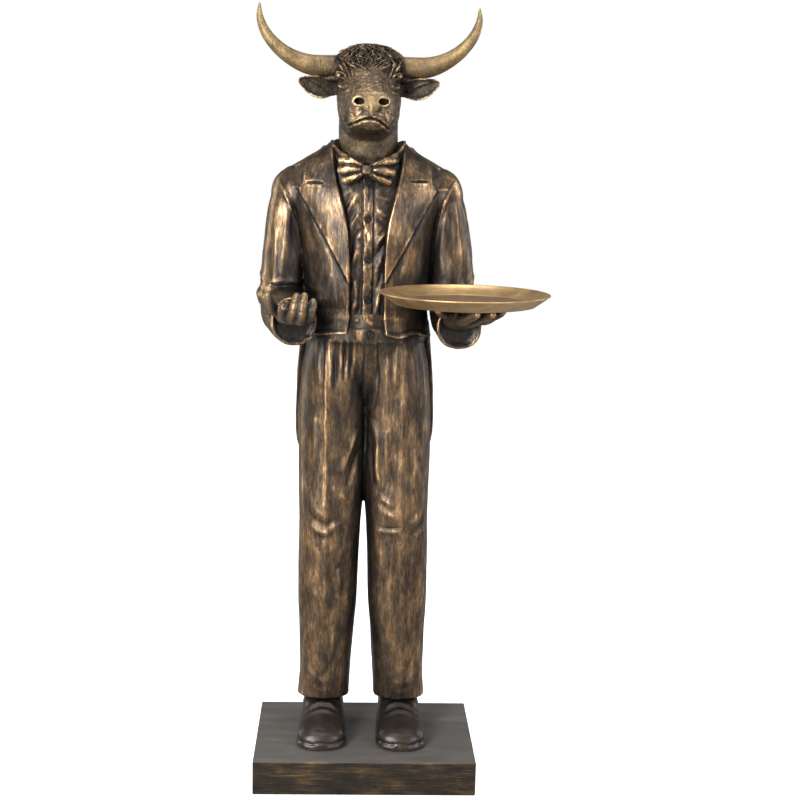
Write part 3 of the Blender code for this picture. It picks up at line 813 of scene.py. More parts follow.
    def forms(self) -> list[Form]:
        """Both legs, the hips, the waistband and the fly."""
        turns = full_turns(RING_SIDES)
        heights = steps(self.leg[0][0], self.leg[-1][0], 2.0)
        rings = []
        for z, (x, y, half_width, front, back, squareness) in zip(heights, rows_at(self.leg, heights)):
            depth = np.where(np.cos(turns) > 0, front, back)
            point_x = x + half_width * power(np.sin(turns), squareness)
            ridge = self.crease * np.exp(-(((point_x - 37.8) / 4.5) ** 2))
            point_y = y - depth * power(np.cos(turns), squareness) - ridge * np.sign(np.cos(turns))
            low = np.clip((52 - z) / 18, 0, 1)
            arch = low * 3.4 * np.clip(np.cos(turns), 0, 1) ** 0.6
            drop = low * 5.0 * np.clip(-np.cos(turns), 0, 1)
            rings.append(np.stack([point_x, point_y, z + arch - drop], -1))
        waist = steps(404, 416.5, 2)
        band = self.hips.sheet(waist, -1.5 + 0 * waist, 1.5 + 0 * waist, 1.6, 6)
        fly = steps(340, 412, 2)
        right_edge = np.interp(fly, (340, 350, 412), (5.5, 9.6, 10.3))
        fly_turns = [self.hips.turn_at(fly, x) for x in (-0.7 + 0 * fly, right_edge)]
        return loft(rings).pair() + [self.hips.body(), band, self.hips.sheet(fly, *fly_turns, 0.7, 6, 12)]

    def strokes(self) -> list[Stroke]:
        """Creases, pleats, seams and folds, as the casting shows them."""
        made = []
        for row in self.folds:
            at_knee = self.knee[0] < row[1] < self.knee[1]
            made += drawn([row], scale=self.knee_scale if at_knee else self.fold_scale)
        for sign in (-1, 1):
            for x, top, bottom in ((22, 255, 215), (45, 250, 222)):
                line = ((sign * x - 12, bottom), (sign * x, bottom - 6), (sign * x + 12, bottom + 2))
                made.append(Stroke(line, 2.6, 1.3, Facing.BACK))
                line = ((sign * x - 10, top), (sign * x, top - 5), (sign * x + 9, top + 2))
                made.append(Stroke(line, 2.4, 1.0, Facing.BACK))
        return made


@dataclass(frozen=True)
class Shoes:
    """Plain leather shoes with creased vamps, a soft sole lip and a low heel."""

    rows: tuple = (
        (47, 10, 30, 0), (43, 16.5, 34, 0),
        (28, 20, 38, 0), (6, 21.5, 38, 0),
        (-14, 22.3, 29, 0.4), (-30, 23.2, 22.5, 0.8),
        (-41, 21.2, 18.5, 1.2), (-48, 14, 13.5, 1.5),
        (-50.5, 7, 9, 1.5),
    )
    middle: float = 38.5
    creases: tuple = (
        (4, -7, 0.9), (-1, -8, -0.6), (-6, -8, 1), (-11, -9, -0.6), (-15, -8, 0.8), (-20, -8, -0.4),
    )

    def forms(self) -> list[Form]:
        """Both uppers, soles and heels."""
        places = steps(self.rows[0][0], self.rows[-1][0], 1.2)
        turns = full_turns(64)
        upper, sole = [], []
        for y, (half_width, height, drift) in zip(places, rows_at(self.rows, places)):
            x = self.middle + drift + half_width * power(np.cos(turns), 2.4)
            z = height / 2 * (1 + power(np.sin(turns), 2.6))
            upper.append(np.stack([x, np.full(64, y), np.maximum(z, 1.2)], -1))
            wide = self.middle + drift + (half_width + 1.5) * power(np.cos(turns), 3.0)
            wave = 0.7 * np.cos((wide - self.middle - drift) * 0.30) * (y < -20)
            level = 3.4 + wave * (np.sin(turns) > 0) + 3.3 * power(np.sin(turns), 3.2)
            sole.append(np.stack([wide, np.full(64, y - 0.6), level], -1))
        heel = np.array([(-19, 45), (19, 45), (19, 19), (-19, 19)], float)
        edges = zip(heel, np.roll(heel, -1, 0))
        x, y = np.concatenate([np.linspace(a, b, 12, endpoint=False) for a, b in edges]).T
        block = [np.column_stack([x + self.middle, y, np.full(48, z)]) for z in (0, 3, 6, 9)]
        return loft(upper).pair() + loft(sole).pair() + loft(block).pair()

    def strokes(self) -> list[Stroke]:
        """The vamp's creases, the seam over the sole and the heel's stacked edge."""
        made = []
        for sign in (-1, 1):
            for y, bow, height in self.creases:
                places = (-18, -9, 0, 9, 18)
                line = tuple((sign * (self.middle + dx), y + bow * (dx / 18) ** 2) for dx in places)
                made.append(Stroke(line, 1.7, height, Facing.TOP, (6, 40)))
            places = range(-20, 21, 4)
            line = tuple((sign * (self.middle + dx), 7.6 + 1.0 * math.cos(dx * 0.3)) for dx in places)
            made.append(Stroke(line, 0.8, -1.3, Facing.FRONT, (-60, 0), False))
        made += [
            Stroke(((45, 7.4), (0, 7.8), (-40, 8.0)), 0.8, -1.2, facing, (-70, 70), False)
            for facing in (Facing.RIGHT, Facing.LEFT)
        ]
        return made


@dataclass(frozen=True)
class Shirt:
    """A crumpled dress shirt with a placket, ringed buttons and a rolled collar."""

    trunk: Sections = Sections((
        (398, 10, 52, 38, 36, 2.3), (440, 8, 51, 37, 37, 2.3),
        (480, 8, 55, 39, 40, 2.3), (520, 8, 60, 40, 42, 2.3),
        (550, 8, 58, 37, 40, 2.2), (572, 8, 44, 32, 34, 2.1),
    ))
    buttons: tuple = ((0.4, 554), (0.1, 520.3), (0.6, 482.1), (1.1, 444.5))
    waist_button: tuple = (3.5, 412.5)
    collar_edge: tuple = (
        (0, 4, 8, 16, 23, 28, 31.5, 33.6), (566.5, 568, 570.5, 573, 576, 580, 584.5, 588.5),
    )
    fold_scale: float = 1.15
    folds: tuple = (
        (-4, 548, -14, 536, -22, 520, 2, 1.2), (-6, 530, -14, 515, -17, 500, 1.9, 1.2),
        (-7, 512, -13, 498, -16, 484, 1.8, -1.4), (-16, 545, -20, 530, -22, 512, 1.8, -1.2),
        (-6, 500, -11, 486, -15, 470, 1.9, 1.3), (-14, 470, -10, 455, -11, 435, 1.9, 1.2),
        (-6, 470, -7, 450, -7, 428, 1.5, -1.2), (7, 548, 14, 540, 24, 538, 1.9, 1.1),
        (8, 530, 16, 524, 24, 526, 1.8, 1.3), (8, 522, 15, 515, 22, 514, 1.6, -1.3),
        (7, 492, 12, 502, 20, 509, 1.8, 1.6), (7, 484, 12, 492, 18, 500, 1.5, -1.6),
        (8, 470, 12, 480, 17, 492, 1.7, 1.2), (9, 455, 13, 466, 16, 478, 1.7, -1.4),
        (8, 424, 10, 440, 15, 458, 1.9, 1.4), (14, 424, 14, 440, 16, 452, 1.4, -1.2),
        (-14, 424, -13, 436, -15, 448, 1.6, 1.1), (-5, 560, -5, 490, -5, 424, 0.8, -1.4),
        (5.9, 560, 5.9, 490, 5.9, 424, 0.8, -1.4),
    )

    def forms(self) -> list[Form]:
        """The shirt's trunk, placket, buttons and collar."""
        heights = steps(417, 566, 2)
        edges = [self.trunk.turn_at(heights, x + 0 * heights) for x in (-4.4, 5.2)]
        return [self.trunk.body(), self.trunk.sheet(heights, *edges, 1.4, 5, 14)] + self.collar()

    def fastenings(self) -> list[Form]:
        """The placket's ringed buttons and the larger one on the waistband."""
        made = []
        for x, z in self.buttons:
            level = np.array([float(z)])
            place = self.trunk.point(level, self.trunk.turn_at(level, np.array([x])), 1.5)[0]
            made += ring_button(place, (0, -1, 0), 2.7)
        x, z = self.waist_button
        return made + ring_button(np.array((x, -34.6, z)), (0, -1, 0.1), 4.0)

    def collar(self) -> list[Form]:
        """A rolled collar that stands off the neck, high at the nape, and the edge of its fold below."""
        made = []
        for out, drop, thick, tall in ((0.0, 0.0, 2.3, 4.4), (1.8, 6.4, 1.8, 3.2)):
            turns = np.linspace(0, 2 * np.pi, 121)
            x = (33.6 + out) * np.sin(turns)
            y = 7 - (34.0 + out) * np.cos(turns)
            dip = np.interp(np.abs(x), *self.collar_edge)
            z = np.where(np.cos(turns) > 0, dip, self.collar_edge[1][-1]) - drop
            turns_round = full_turns(20)
            rings = []
            for k in range(120):
                away = np.array([math.sin(turns[k]), -math.cos(turns[k]), 0])
                lean = np.array([0.25 * away[0], 0.25 * away[1], 0.97])
                rings.append(
                    np.array([x[k], y[k], z[k]])
                    + np.outer(thick * np.cos(turns_round), away)
                    + np.outer(tall * np.sin(turns_round), lean)
                )
            form = loft(rings)
            last = len(form.points) - 20
            closing = [(last + i, last + (i + 1) % 20, (i + 1) % 20, i) for i in range(20)]
            made.append(Form(form.points, form.faces[:-2] + closing))
        return made

    def strokes(self) -> list[Stroke]:
        """Folds that run from the placket to the coat's edges."""
        made = drawn(self.folds, scale=self.fold_scale)
        for x, z in self.buttons:
            turns = np.linspace(0, 2 * np.pi, 17)
            ring = tuple((x + 3.3 * math.cos(turn), z + 3.3 * math.sin(turn)) for turn in turns)
            made.append(Stroke(ring, 0.8, -0.9, taper=False))
        made.append(Stroke(((-24, 425), (-8, 423.5), (4, 423), (14, 424.5), (24, 426)), 4.5, 1.8))
        made.append(Stroke(((-24, 418.5), (0, 417), (24, 418.5)), 1.2, -1.6))
        return made


@dataclass(frozen=True)
class BowTie:
    """A bow tie of puffed pleats gathered in a square knot, hung a little to one side."""

    middle: tuple = (-1.5, -37.0, 566.0)
    right: tuple = (
        ((-8, -0.6, 4.4, 4.4), (-15, 0.4, 6.6, 5), (-22.6, 2.2, 7.2, 4.2)),
        ((-9, -1.4, 0, 4.2), (-16.5, 0, -0.6, 5), (-22.8, 2, -1.4, 4.4)),
        ((-7.5, -0.6, -4.4, 4.2), (-14, 0.4, -7.4, 4.8), (-20.2, 2.2, -10.6, 4)),
    )
    left: tuple = (
        ((8.2, -0.6, 4.4, 4.4), (15.6, 0.4, 6.8, 5), (22.8, 2.2, 7.6, 4.2)),
        ((9, -1.4, -0.4, 4.2), (16.5, 0, -1.4, 5), (22.8, 2, -2.4, 4.4)),
        ((7.5, -0.6, -4.8, 4.2), (13.6, 0.4, -7.8, 4.8), (19.2, 2.2, -11.2, 4)),
    )

    def forms(self) -> list[Form]:
        """The pleats of both wings, the cloth behind them and the knot."""
        middle = np.array(self.middle)
        made = []
        for sign, pleats in ((-1, self.right), (1, self.left)):
            for pleat in pleats:
                root = (sign * 1.5, 0.5, 0.3 * pleat[0][2], 2.6)
                made.append(limb([(*(middle + row[:3]), row[3]) for row in (root, *pleat)], 20, 0.8))
            made.append(ball(middle + (sign * 13.5, 2.6, -1.2), (11.0, 3.6, 10.5)))
        turns = full_turns(40)
        knot = []
        for out, size in ((4, 1.0), (-1.8, 1.0), (-3.2, 0.95), (-3.8, 0.8)):
            x, z = 4.2 * power(np.cos(turns), 3.4), 4.4 * power(np.sin(turns), 3.4)
            around = np.stack([x, 0 * turns, z], -1)
            knot.append(middle + around * size + (0, out, 0))
        return made + [loft(knot)]

    def strokes(self) -> list[Stroke]:
        """Creases between the pleats, and small gathers by the knot."""
        x, _, z = self.middle
        lines = (
            ((-4.5, 1.8), (-12, 4.2), (-22, 4.6), 0.8, -1),
            ((-4.5, -1.8), (-12, -3.8), (-21, -6.2), 0.85, -1.2),
            ((4.5, 1.6), (12, 3.6), (22, 3.4), 0.8, -1),
            ((4.5, -2), (11, -4.6), (20, -7.4), 0.85, -1.2),
            ((-5, 3.6), (-10, 7.2), (-16, 9.8), 0.7, 0.7),
            ((5, 3.4), (10, 6.8), (16, 9.4), 0.7, 0.7),
            ((-5, -3.4), (-10, -7.2), (-15, -10.8), 0.7, 0.7),
            ((5, -3.6), (10, -7.6), (14, -11.2), 0.7, 0.7),
            ((-4.4, 4.6), (-4.6, 0), (-4.4, -4.6), 0.8, -1.2),
            ((4.4, 4.6), (4.6, 0), (4.4, -4.6), 0.8, -1.2),
        )
        return drawn([(*((x + a, z + b) for a, b in row[:-2]), *row[-2:]) for row in lines])


@dataclass(frozen=True)
class Tailcoat:
    """A cutaway coat, open in front, with wide lapels, a notched collar and two tails."""

    trunk: Sections = Sections((
        (402, 10, 63, 46, 47, 2.4), (440, 8, 59, 44, 43, 2.4),
        (480, 8, 62, 46, 46, 2.4), (520, 8, 69, 47, 49, 2.4),
        (545, 8, 76, 43, 46, 2.4), (556, 8, 79, 38, 42, 2.3),
        (564, 8, 74, 34, 39, 2.2), (572, 8, 62, 32, 37, 2.1),
        (582, 8, 44.5, 31, 36, 2), (592, 8, 35.5, 30, 35, 2),
    ))
    tail: Sections = Sections((
        (276, 16, 66, 34, 47, 2.5), (310, 15, 68.5, 38, 49, 2.5),
        (360, 14, 67, 42, 48, 2.5), (425, 10, 61, 45, 44, 2.4),
    ))
    edge: tuple = (
        (402, 20), (411, 18.5), (425, 17), (455, 17), (488, 17.5),
        (515, 20), (540, 26), (565, 31.5), (592, 35),
    )
    hem_wave: tuple = (
        (-70, -3), (-45, -1), (-30, 0.4), (-17, 1.4), (17, 0.6), (31, -2.6), (46, 1.2), (60, -3.6), (70, -4),
    )
    collar_edge: tuple = ((540, 58), (560, 58.5), (572, 56.5), (592, 40))
    hem: float = 411.0
    lapel_foot: float = 462.0
    lapel_tip: float = 64.0
    lapel_lift: float = 2.2
    notch: float = 554.0
    collar_top: float = 586.0
    tail_foot: float = 276.0
    front: tuple = (
        (-58.1, 552.6, -50, 552.9, -41.1, 552.6, 0.85, -2.8),
        (-59, 550.2, -50, 550.4, -41, 550.2, 1, 0.8), (39.7, 556, 48, 555.6, 57.8, 556.2, 0.85, -2.8),
        (40, 553.6, 48, 553.2, 58, 553.8, 1, 0.8), (58.3, 557, 58.2, 566, 56, 573, 49, 581, 1, 0.6),
        (-85.6, 556.6, -73.1, 530.3, -66.9, 511.7, -62.2, 486.3, -59.5, 470, 1, 1.3),
        (-82.8, 556.6, -70.6, 530.3, -64.3, 511.7, -59.6, 486.3, 1.1, -1),
        (85, 558, 78.8, 548.8, 69.3, 522.3, 64, 488.9, 1, 1.2),
        (82.4, 557, 76.2, 547.8, 66.6, 521.3, 61.4, 488.9, 1.1, -0.9),
        (63.6, 547.6, 71, 548.3, 78.8, 548.3, 0.9, 1), (-72, 548, -68, 548.3, -62, 547.4, 0.9, 0.8),
        (-67, 541, -65.5, 525, -60.5, 507, -54, 486, 3.6, 1.4),
        (-58, 535, -56, 520, -52, 505, -47, 492, 2.6, -1),
        (-52, 470, -47, 455, -44, 438, 4.2, 0.9), (-33, 470, -29, 452, -27, 432, 3.6, 0.8),
        (56, 500, 52, 482, 47, 462, 44, 444, 3.8, 0.9), (34, 478, 31, 462, 28, 444, 3.2, 0.7),
    )
    back_seams: tuple = (
        (0, 572, 0, 500, 0, 430, 0.9, -1.3), (-64, 425, -30, 421, 0, 420, 30, 421, 64, 425, 0.9, -1.3),
    )
    back_pairs: tuple = (
        (-50, 548, -34, 505, -22, 465, -17, 428, 0.9, -1.1),
        (-15, 415, -19, 370, -22, 300, 1, -1.1), (-40, 410, -44, 370, -46, 290, 4, 1.3),
        (-30, 405, -32, 360, -34, 285, 3.2, -1), (-58, 530, -48, 500, -44, 470, 4, 1),
    )
    back_folds: tuple = (
        (-50, 566, -25, 569, 0, 570, 25, 569, 50, 566, 1.1, -1.6),
        (-22, 455, -10, 450, 0, 449, 10, 450, 22, 455, 3, 0.8),
    )

    def opening(self, heights: np.ndarray) -> np.ndarray:
        """How far the front edge stands from the middle."""
        return rows_at(self.edge, heights)[:, 0]

    def lapel_edge(self, heights: np.ndarray) -> np.ndarray:
        """The lapel's outer edge, straight from its foot to its point."""
        share = (heights - self.lapel_foot) / (self.notch - 8 - self.lapel_foot)
        return 18.0 + share * (self.lapel_tip - 18.0)

    def forms(self) -> list[Form]:
        """The coat's body, lapels, collar, shoulders, elbows and tails."""
        trunk = self.trunk
        heights = steps(self.hem, 590, 2)
        edge = trunk.turn_at(heights, self.opening(heights))
        flare = 1.6 * np.clip((self.hem + 7 - heights) / 7, 0, 1) ** 2
        body = trunk.sheet(heights, edge, 2 * np.pi - edge, flare, 12.0, 150)
        x, z = body.points[:, 0], body.points[:, 2]
        wave = rows_at(self.hem_wave, x)[:, 0]
        front = np.clip((20 - body.points[:, 1]) / 20, 0, 1)
        body.points[:, 2] = z + wave * front * np.clip((434 - z) / 23, 0, 1)
        made = [body]
        lapel = steps(self.lapel_foot, self.notch - 8, 1.5)
        edge = np.maximum(self.lapel_edge(lapel), self.opening(lapel) + 0.5)
        made += self.panel(lapel, edge, self.lapel_lift)
        bridge = steps(self.notch - 9, self.notch + 1, 1)
        edge = np.interp(bridge, (self.notch - 9, self.notch + 1), (63.5, 58.0))
        made += self.panel(bridge, edge, self.lapel_lift)
        collar = steps(self.notch + 1, self.collar_top, 1.5)
        fading = np.interp(collar, (555, 575, 591), (self.lapel_lift, 1.4, 0.8))
        made += self.panel(collar, rows_at(self.collar_edge, collar)[:, 0], fading)
        neck = steps(568, self.collar_top + 1, 1.5)
        made.append(trunk.sheet(neck, 0 * neck + 1.2, 0 * neck + 2 * np.pi - 1.2, 3.0, 7.0, 90))
        made += ball((67.5, 9, 541), (24.5, 26, 27)).pair()
        made += [ball((-89.5, 3, 445), (16.0, 19, 17)), ball((90, 3, 446), (15.6, 19, 15))]
        return made + self.tails()

    def panel(self, heights: np.ndarray, edge: np.ndarray, lift: float | np.ndarray) -> list[Form]:
        """Cloth on both sides of the opening, out to an edge at each height."""
        inner = self.trunk.turn_at(heights, self.opening(heights) - 1.0)
        return self.trunk.sheet(heights, inner, self.trunk.turn_at(heights, edge), lift, 4.0, 40).pair()

    def tails(self) -> list[Form]:
        """Two tails behind, parted by a vent."""
        heights = steps(self.tail_foot, self.hem + 10, 2)
        share = (heights - self.tail_foot) / (self.hem - self.tail_foot)
        side = np.radians(rows_at(((0, 118), (0.12, 102), (0.5, 92), (0.9, 80), (1.1, 66)), share)[:, 0])
        vent = np.radians(180 - 1.2 + 0 * heights)
        return self.tail.sheet(heights, side, vent, 0.0, 9.0, 60).pair()

    def waist_buttons(self) -> list[Form]:
        """Two buttons over the vent behind."""
        made = []
        for x in (-13.0, 13.0):
            level = np.array([424.0])
            turn = np.pi - self.trunk.turn_at(level, np.array([x]))
            made += ring_button(self.trunk.point(level, turn, 0.3)[0], (0, 1, 0), 4.2)
        return made

    def strokes(self) -> list[Stroke]:
        """Edges, seams and drape."""
        low = steps(self.hem + 2, self.notch + 30, 6)
        z = steps(self.lapel_foot, self.notch - 9, 6)
        x = self.lapel_edge(z)
        edges = (
            (*zip(self.opening(low) + 0.9, low), 0.9, 0.5),
            (*zip(x - 1.0, z), 1.0, 0.4),
            (*zip(x + 1.5, z), 1.1, -1.1),
        )
        made = drawn(edges, taper=False, mirrored=True)
        made += drawn([(*zip(x[2:] - 4.6, z[2:] - 1), 0.7, -0.3)], mirrored=True)
        made += drawn(self.front)
        hem_right = ((-58, 410.2), (-33, 412.4), (-20, 413.4))
        hem_left = ((20, 412.4), (31.3, 410.0), (39, 411.8), (46, 413.4), (59.9, 408.8))
        for line in (hem_right, hem_left):
            made.append(Stroke(line, 1.2, 1.0))
            made.append(Stroke(tuple((x, z + 3.4) for x, z in line), 1.2, -0.9))
        made += drawn(self.back_seams, Facing.BACK)
        made += drawn(self.back_pairs, Facing.BACK, mirrored=True)
        return made + drawn(self.back_folds, Facing.BACK)


@dataclass(frozen=True)
class Sleeves:
    """Two sleeves bent at the elbow, their cuffs open round the shirt's cuffs."""

    right: tuple = (
        (-70, 10, 550, 16, 20), (-76, 10, 530, 18, 25),
        (-78, 11, 500, 20, 26), (-80, 11, 470, 21.5, 26),
        (-81, 10, 446, 22, 25), (-79, -4, 433, 22.5, 23),
        (-73, -30, 428, 22.5, 22.5), (-67, -62, 427, 21.5, 22.5),
    )
    left: tuple = (
        (70, 10, 550, 16, 20), (76, 10, 530, 18, 25),
        (79, 11, 500, 20, 26), (82, 11, 470, 21.5, 26),
        (83, 10, 446, 22, 25), (84, -4, 431, 22.5, 22.5),
        (85, -32, 425.5, 22, 20.5), (85.5, -64, 424, 21, 20),
    )
    front: tuple = (
        (-86, 510, -87, 484, -88, 466, -90, 459.5, -93.6, 455.5, 2.4, 1.2),
        (-88, 453.5, -79.2, 454.3, -69.3, 454.9, -60, 455.3, 1.3, -1.5),
        (-93, 458.5, -79, 459.3, -66, 460, 2.2, 1.3),
        (-74.5, 530, -77, 505, -78.5, 482, -80.1, 464, 3.6, 1.6),
        (-70.5, 530, -70, 505, -67.5, 485, 2.6, -1),
        (-88, 530, -89, 510, -91, 490, 3.2, 0.9), (-66, 515, -63.5, 495, -61.5, 476, 2, 1.2),
        (-97, 447, -96, 440, -93, 432, 2.2, 0.8), (-94, 446, -93.5, 438, -91.5, 430, 1.8, -1),
        (72, 522, 71, 500, 70, 480, 72, 466, 3.2, 1.3), (84, 540, 87, 512, 91, 486, 93, 470, 3.6, 1.2),
        (78, 530, 79, 505, 80, 480, 2.6, -0.9), (98, 520, 100, 500, 103, 480, 2.8, 0.8),
    )
    sides: tuple = (
        (-28, 452, -14, 456, 2, 462, 22, 470, 2.6, 1.7), (-22, 447, -8, 450, 6, 454, 20, 458, 2, -1.3),
        (-34, 444, -18, 444, 0, 446, 18, 447, 2.4, 1.3), (-44, 438, -30, 436, -14, 434, 4, 434, 2.2, -1),
        (-50, 432, -36, 428, -20, 424, 2.4, 1), (8, 520, 6, 500, 10, 478, 3.6, 1.2),
        (22, 530, 24, 505, 24, 480, 3.4, 1), (-4, 525, -6, 500, -6, 480, 3, 0.9),
        (-57, 447, -56.5, 430, -57, 408, 0.9, -0.9),
    )
    back: tuple = (
        (-98, 470, -84, 462, -66, 464, 2.8, 1.5), (-100, 455, -84, 449, -68, 452, 2.4, -1.2),
        (-80, 530, -82, 505, -82, 480, 3.6, 1.1),
    )
    side_scale: float = 0.6
    cuff: tuple = (
        (1.01, 1), (0.99, 2), (0.94, 2.4), (0.88, 2.2), (0.855, 1.4), (0.845, -0.6), (0.82, -1),
        (0.80, 0.4), (0.77, 0.7), (0.74, 0.2), (0.725, -1), (0.6, -0.9), (0.4, -0.6), (0.2, -0.6),
    )
    right_buttons: tuple = ((-88.8, -57, 430), (-88.0, -56.5, 422.5), (-86.0, -50, 416))
    left_buttons: tuple = ((105.6, -57, 426), (105.0, -56.5, 418.5), (104.6, -48, 418))

    def sleeve(self, rows: tuple) -> Form:
        """A sleeve that ends in a lip, a gap, the shirt's cuff and a filled wrist.

        Args:
            rows: Its sections.

        Returns:
            The sleeve's skin.
        """
        rings = list(rings_along(rows, (1, 0, 0), RING_SIDES, 2.15, 2.0))
        end, before = rings[-1], rings[-2]
        middle = end.mean(axis=0)
        ahead = middle - before.mean(axis=0)
        ahead /= np.linalg.norm(ahead)
        rings += [middle + (end - middle) * share + ahead * shift for share, shift in self.cuff]
        return loft(rings)

    def forms(self) -> list[Form]:
        """Both sleeves."""
        return [self.sleeve(self.right), self.sleeve(self.left)]

    def fastenings(self) -> list[Form]:
        """Three small buttons beside each cuff."""
        made = []
        for places, normal in ((self.right_buttons, (-1, 0, -0.25)), (self.left_buttons, (1, 0, -0.2))):
            for place in places:
                made += ring_button(np.array(place), normal, 2.9)
        return made

    def strokes(self) -> list[Stroke]:
        """Drape along the upper arms and bunched folds at the elbows."""
        made = drawn(self.front)
        for facing in (Facing.RIGHT, Facing.LEFT):
            made += drawn(self.sides, facing, self.side_scale)
        return made + drawn(self.back, Facing.BACK, mirrored=True)


# Hands


@dataclass(frozen=True)
class Hands:
    """The cupped right hand, and the left hand spread under the tray."""

    tray_x: float = 96.0
    tray_y: float = -98.0
    tray_seat: float = 449.8
    curled: tuple = (
        (-74.6, -71.6, -103, 438.5, 448), (-67.5, -62.9, -107, 436, 455),
        (-59.8, -55.9, -107, 434, 455.5), (-51.3, -48.4, -103, 436.5, 450),
    )
    thumb_tip: tuple = (-89.5, -92, 454)
    spread: tuple = ((-12, -6, 20, 33), (-4, -5, 29, 35), (3.5, -2, 39, 29), (9.5, 2.5, 50, 20))
    joints: tuple = ((0, -14.5, 5), (0.3, -12.4, 4.6), (0.55, -9.8, 4), (0.75, -7.6, 4.2), (1, -5, 3.4))
    creases: tuple = (
        ((-80, -70), (-68, -78), (-58, -90)), ((-76, -92), (-66, -88), (-56, -92)),
        ((-72, -62), (-66, -72), (-62, -84)),
    )

    @staticmethod
    def palm(rows: tuple) -> Form:
        """The padded palm from the wrist to the knuckles."""
        return loft(rings_along(rows, (1, 0, 0), 56, 2.4, 1.2))

    def cupped(self) -> list[Form]:
        """The right hand, palm up, its fingers curling up in front."""
        made = [self.palm(((-67, -52, 430, 13, 10), (-66, -74, 433, 17, 9), (-62.5, -93, 435, 17, 6.5)))]
        for x, tip_x, forward, low, tip in self.curled:
            made.append(limb([
                (0.6 * x - 24, -90, low - 1, 5.4),
                (x, forward + 2, low, 5.2),
                (0.6 * x + 0.4 * tip_x, forward - 5, low + 6, 4.6),
                (0.2 * x + 0.8 * tip_x, forward - 4.6, tip - 5, 4.1),
                (tip_x, forward - 1, tip, 3.3),
            ], 24, 0.9))
        thumb = [(-78, -76, 436, 6.5), (-84.5, -84, 440.5, 5.2), (-87.5, -90, 447, 4.3)]
        made.append(limb([*thumb, (*self.thumb_tip, 3.3)], 24, 0.9))
        made += [ball((-76, -80, 439.5), (8, 10, 5)), ball((-56, -82, 438.5), (7, 11, 4.5))]
        return made

    def serving(self) -> list[Form]:
        """The left hand, palm up, its fingers spread under the tray."""
        x, y, seat = self.tray_x, self.tray_y, self.tray_seat
        made = [self.palm(((84, -54, 428, 13, 10), (87, -78, 434, 17, 9), (x - 2, -98, 438.5, 16, 6.5)))]
        for across, back, heading, reach in self.spread:
            turn = math.radians(heading)
            finger = []
            for share, rise, radius in self.joints:
                place_x = x + across + reach * share * math.sin(turn)
                place_y = y + back - reach * share * math.cos(turn)
                finger.append((place_x, place_y, seat + rise, radius))
            made.append(limb(finger, 24, 0.9))
        made.append(limb([
            (x - 16, y + 16, seat - 13, 6.0), (x - 25, y + 6, seat - 10, 5.2),
            (x - 31, y - 4, seat - 6.8, 4.4), (x - 33, y - 10, seat - 5.0, 3.6),
        ], 24, 1.0))
        turns = full_turns(40)
        pad = [
            np.stack([x - 2 + r * np.cos(turns), y + r * np.sin(turns), np.full(40, z)], -1)
            for r, z in ((9, seat - 9), (8, seat - 3), (7, seat - 0.2))
        ]
        return made + [loft(pad)]

    def forms(self) -> list[Form]:
        """Both hands."""
        return self.cupped() + self.serving()

    def strokes(self) -> list[Stroke]:
        """Creases at the finger joints and across the palm."""
        made = []
        for base_x, tip_x, _, low, tip in self.curled:
            for share in (0.2, 0.62):
                x, z = tip_x + share * (base_x - tip_x), tip + share * (low - tip)
                made.append(Stroke(((x - 3.2, z), (x, z - 0.5), (x + 3.2, z)), 0.8, -0.45))
        for line in self.creases:
            made.append(Stroke(line, 1.0, -0.9, Facing.TOP, (430, 460)))
        return made

    def gilt(self, points: np.ndarray) -> np.ndarray:
        """Rubbed gold on the tips of the cupped hand's fingers.

        Args:
            points: The skin's points.

        Returns:
            How gilt each point is, from 0 to 1.
        """
        worn = np.zeros(len(points))
        tips = [(tip_x, forward, tip) for _, tip_x, forward, _, tip in self.curled]
        for x, y, z in tips + [self.thumb_tip]:
            away = np.linalg.norm((points - (x, y - 1, z + 1.5)) / (4.0, 5.5, 4.2), axis=1)
            worn = np.maximum(worn, np.clip(1.1 - away, 0, 0.8))
        return worn


# Head


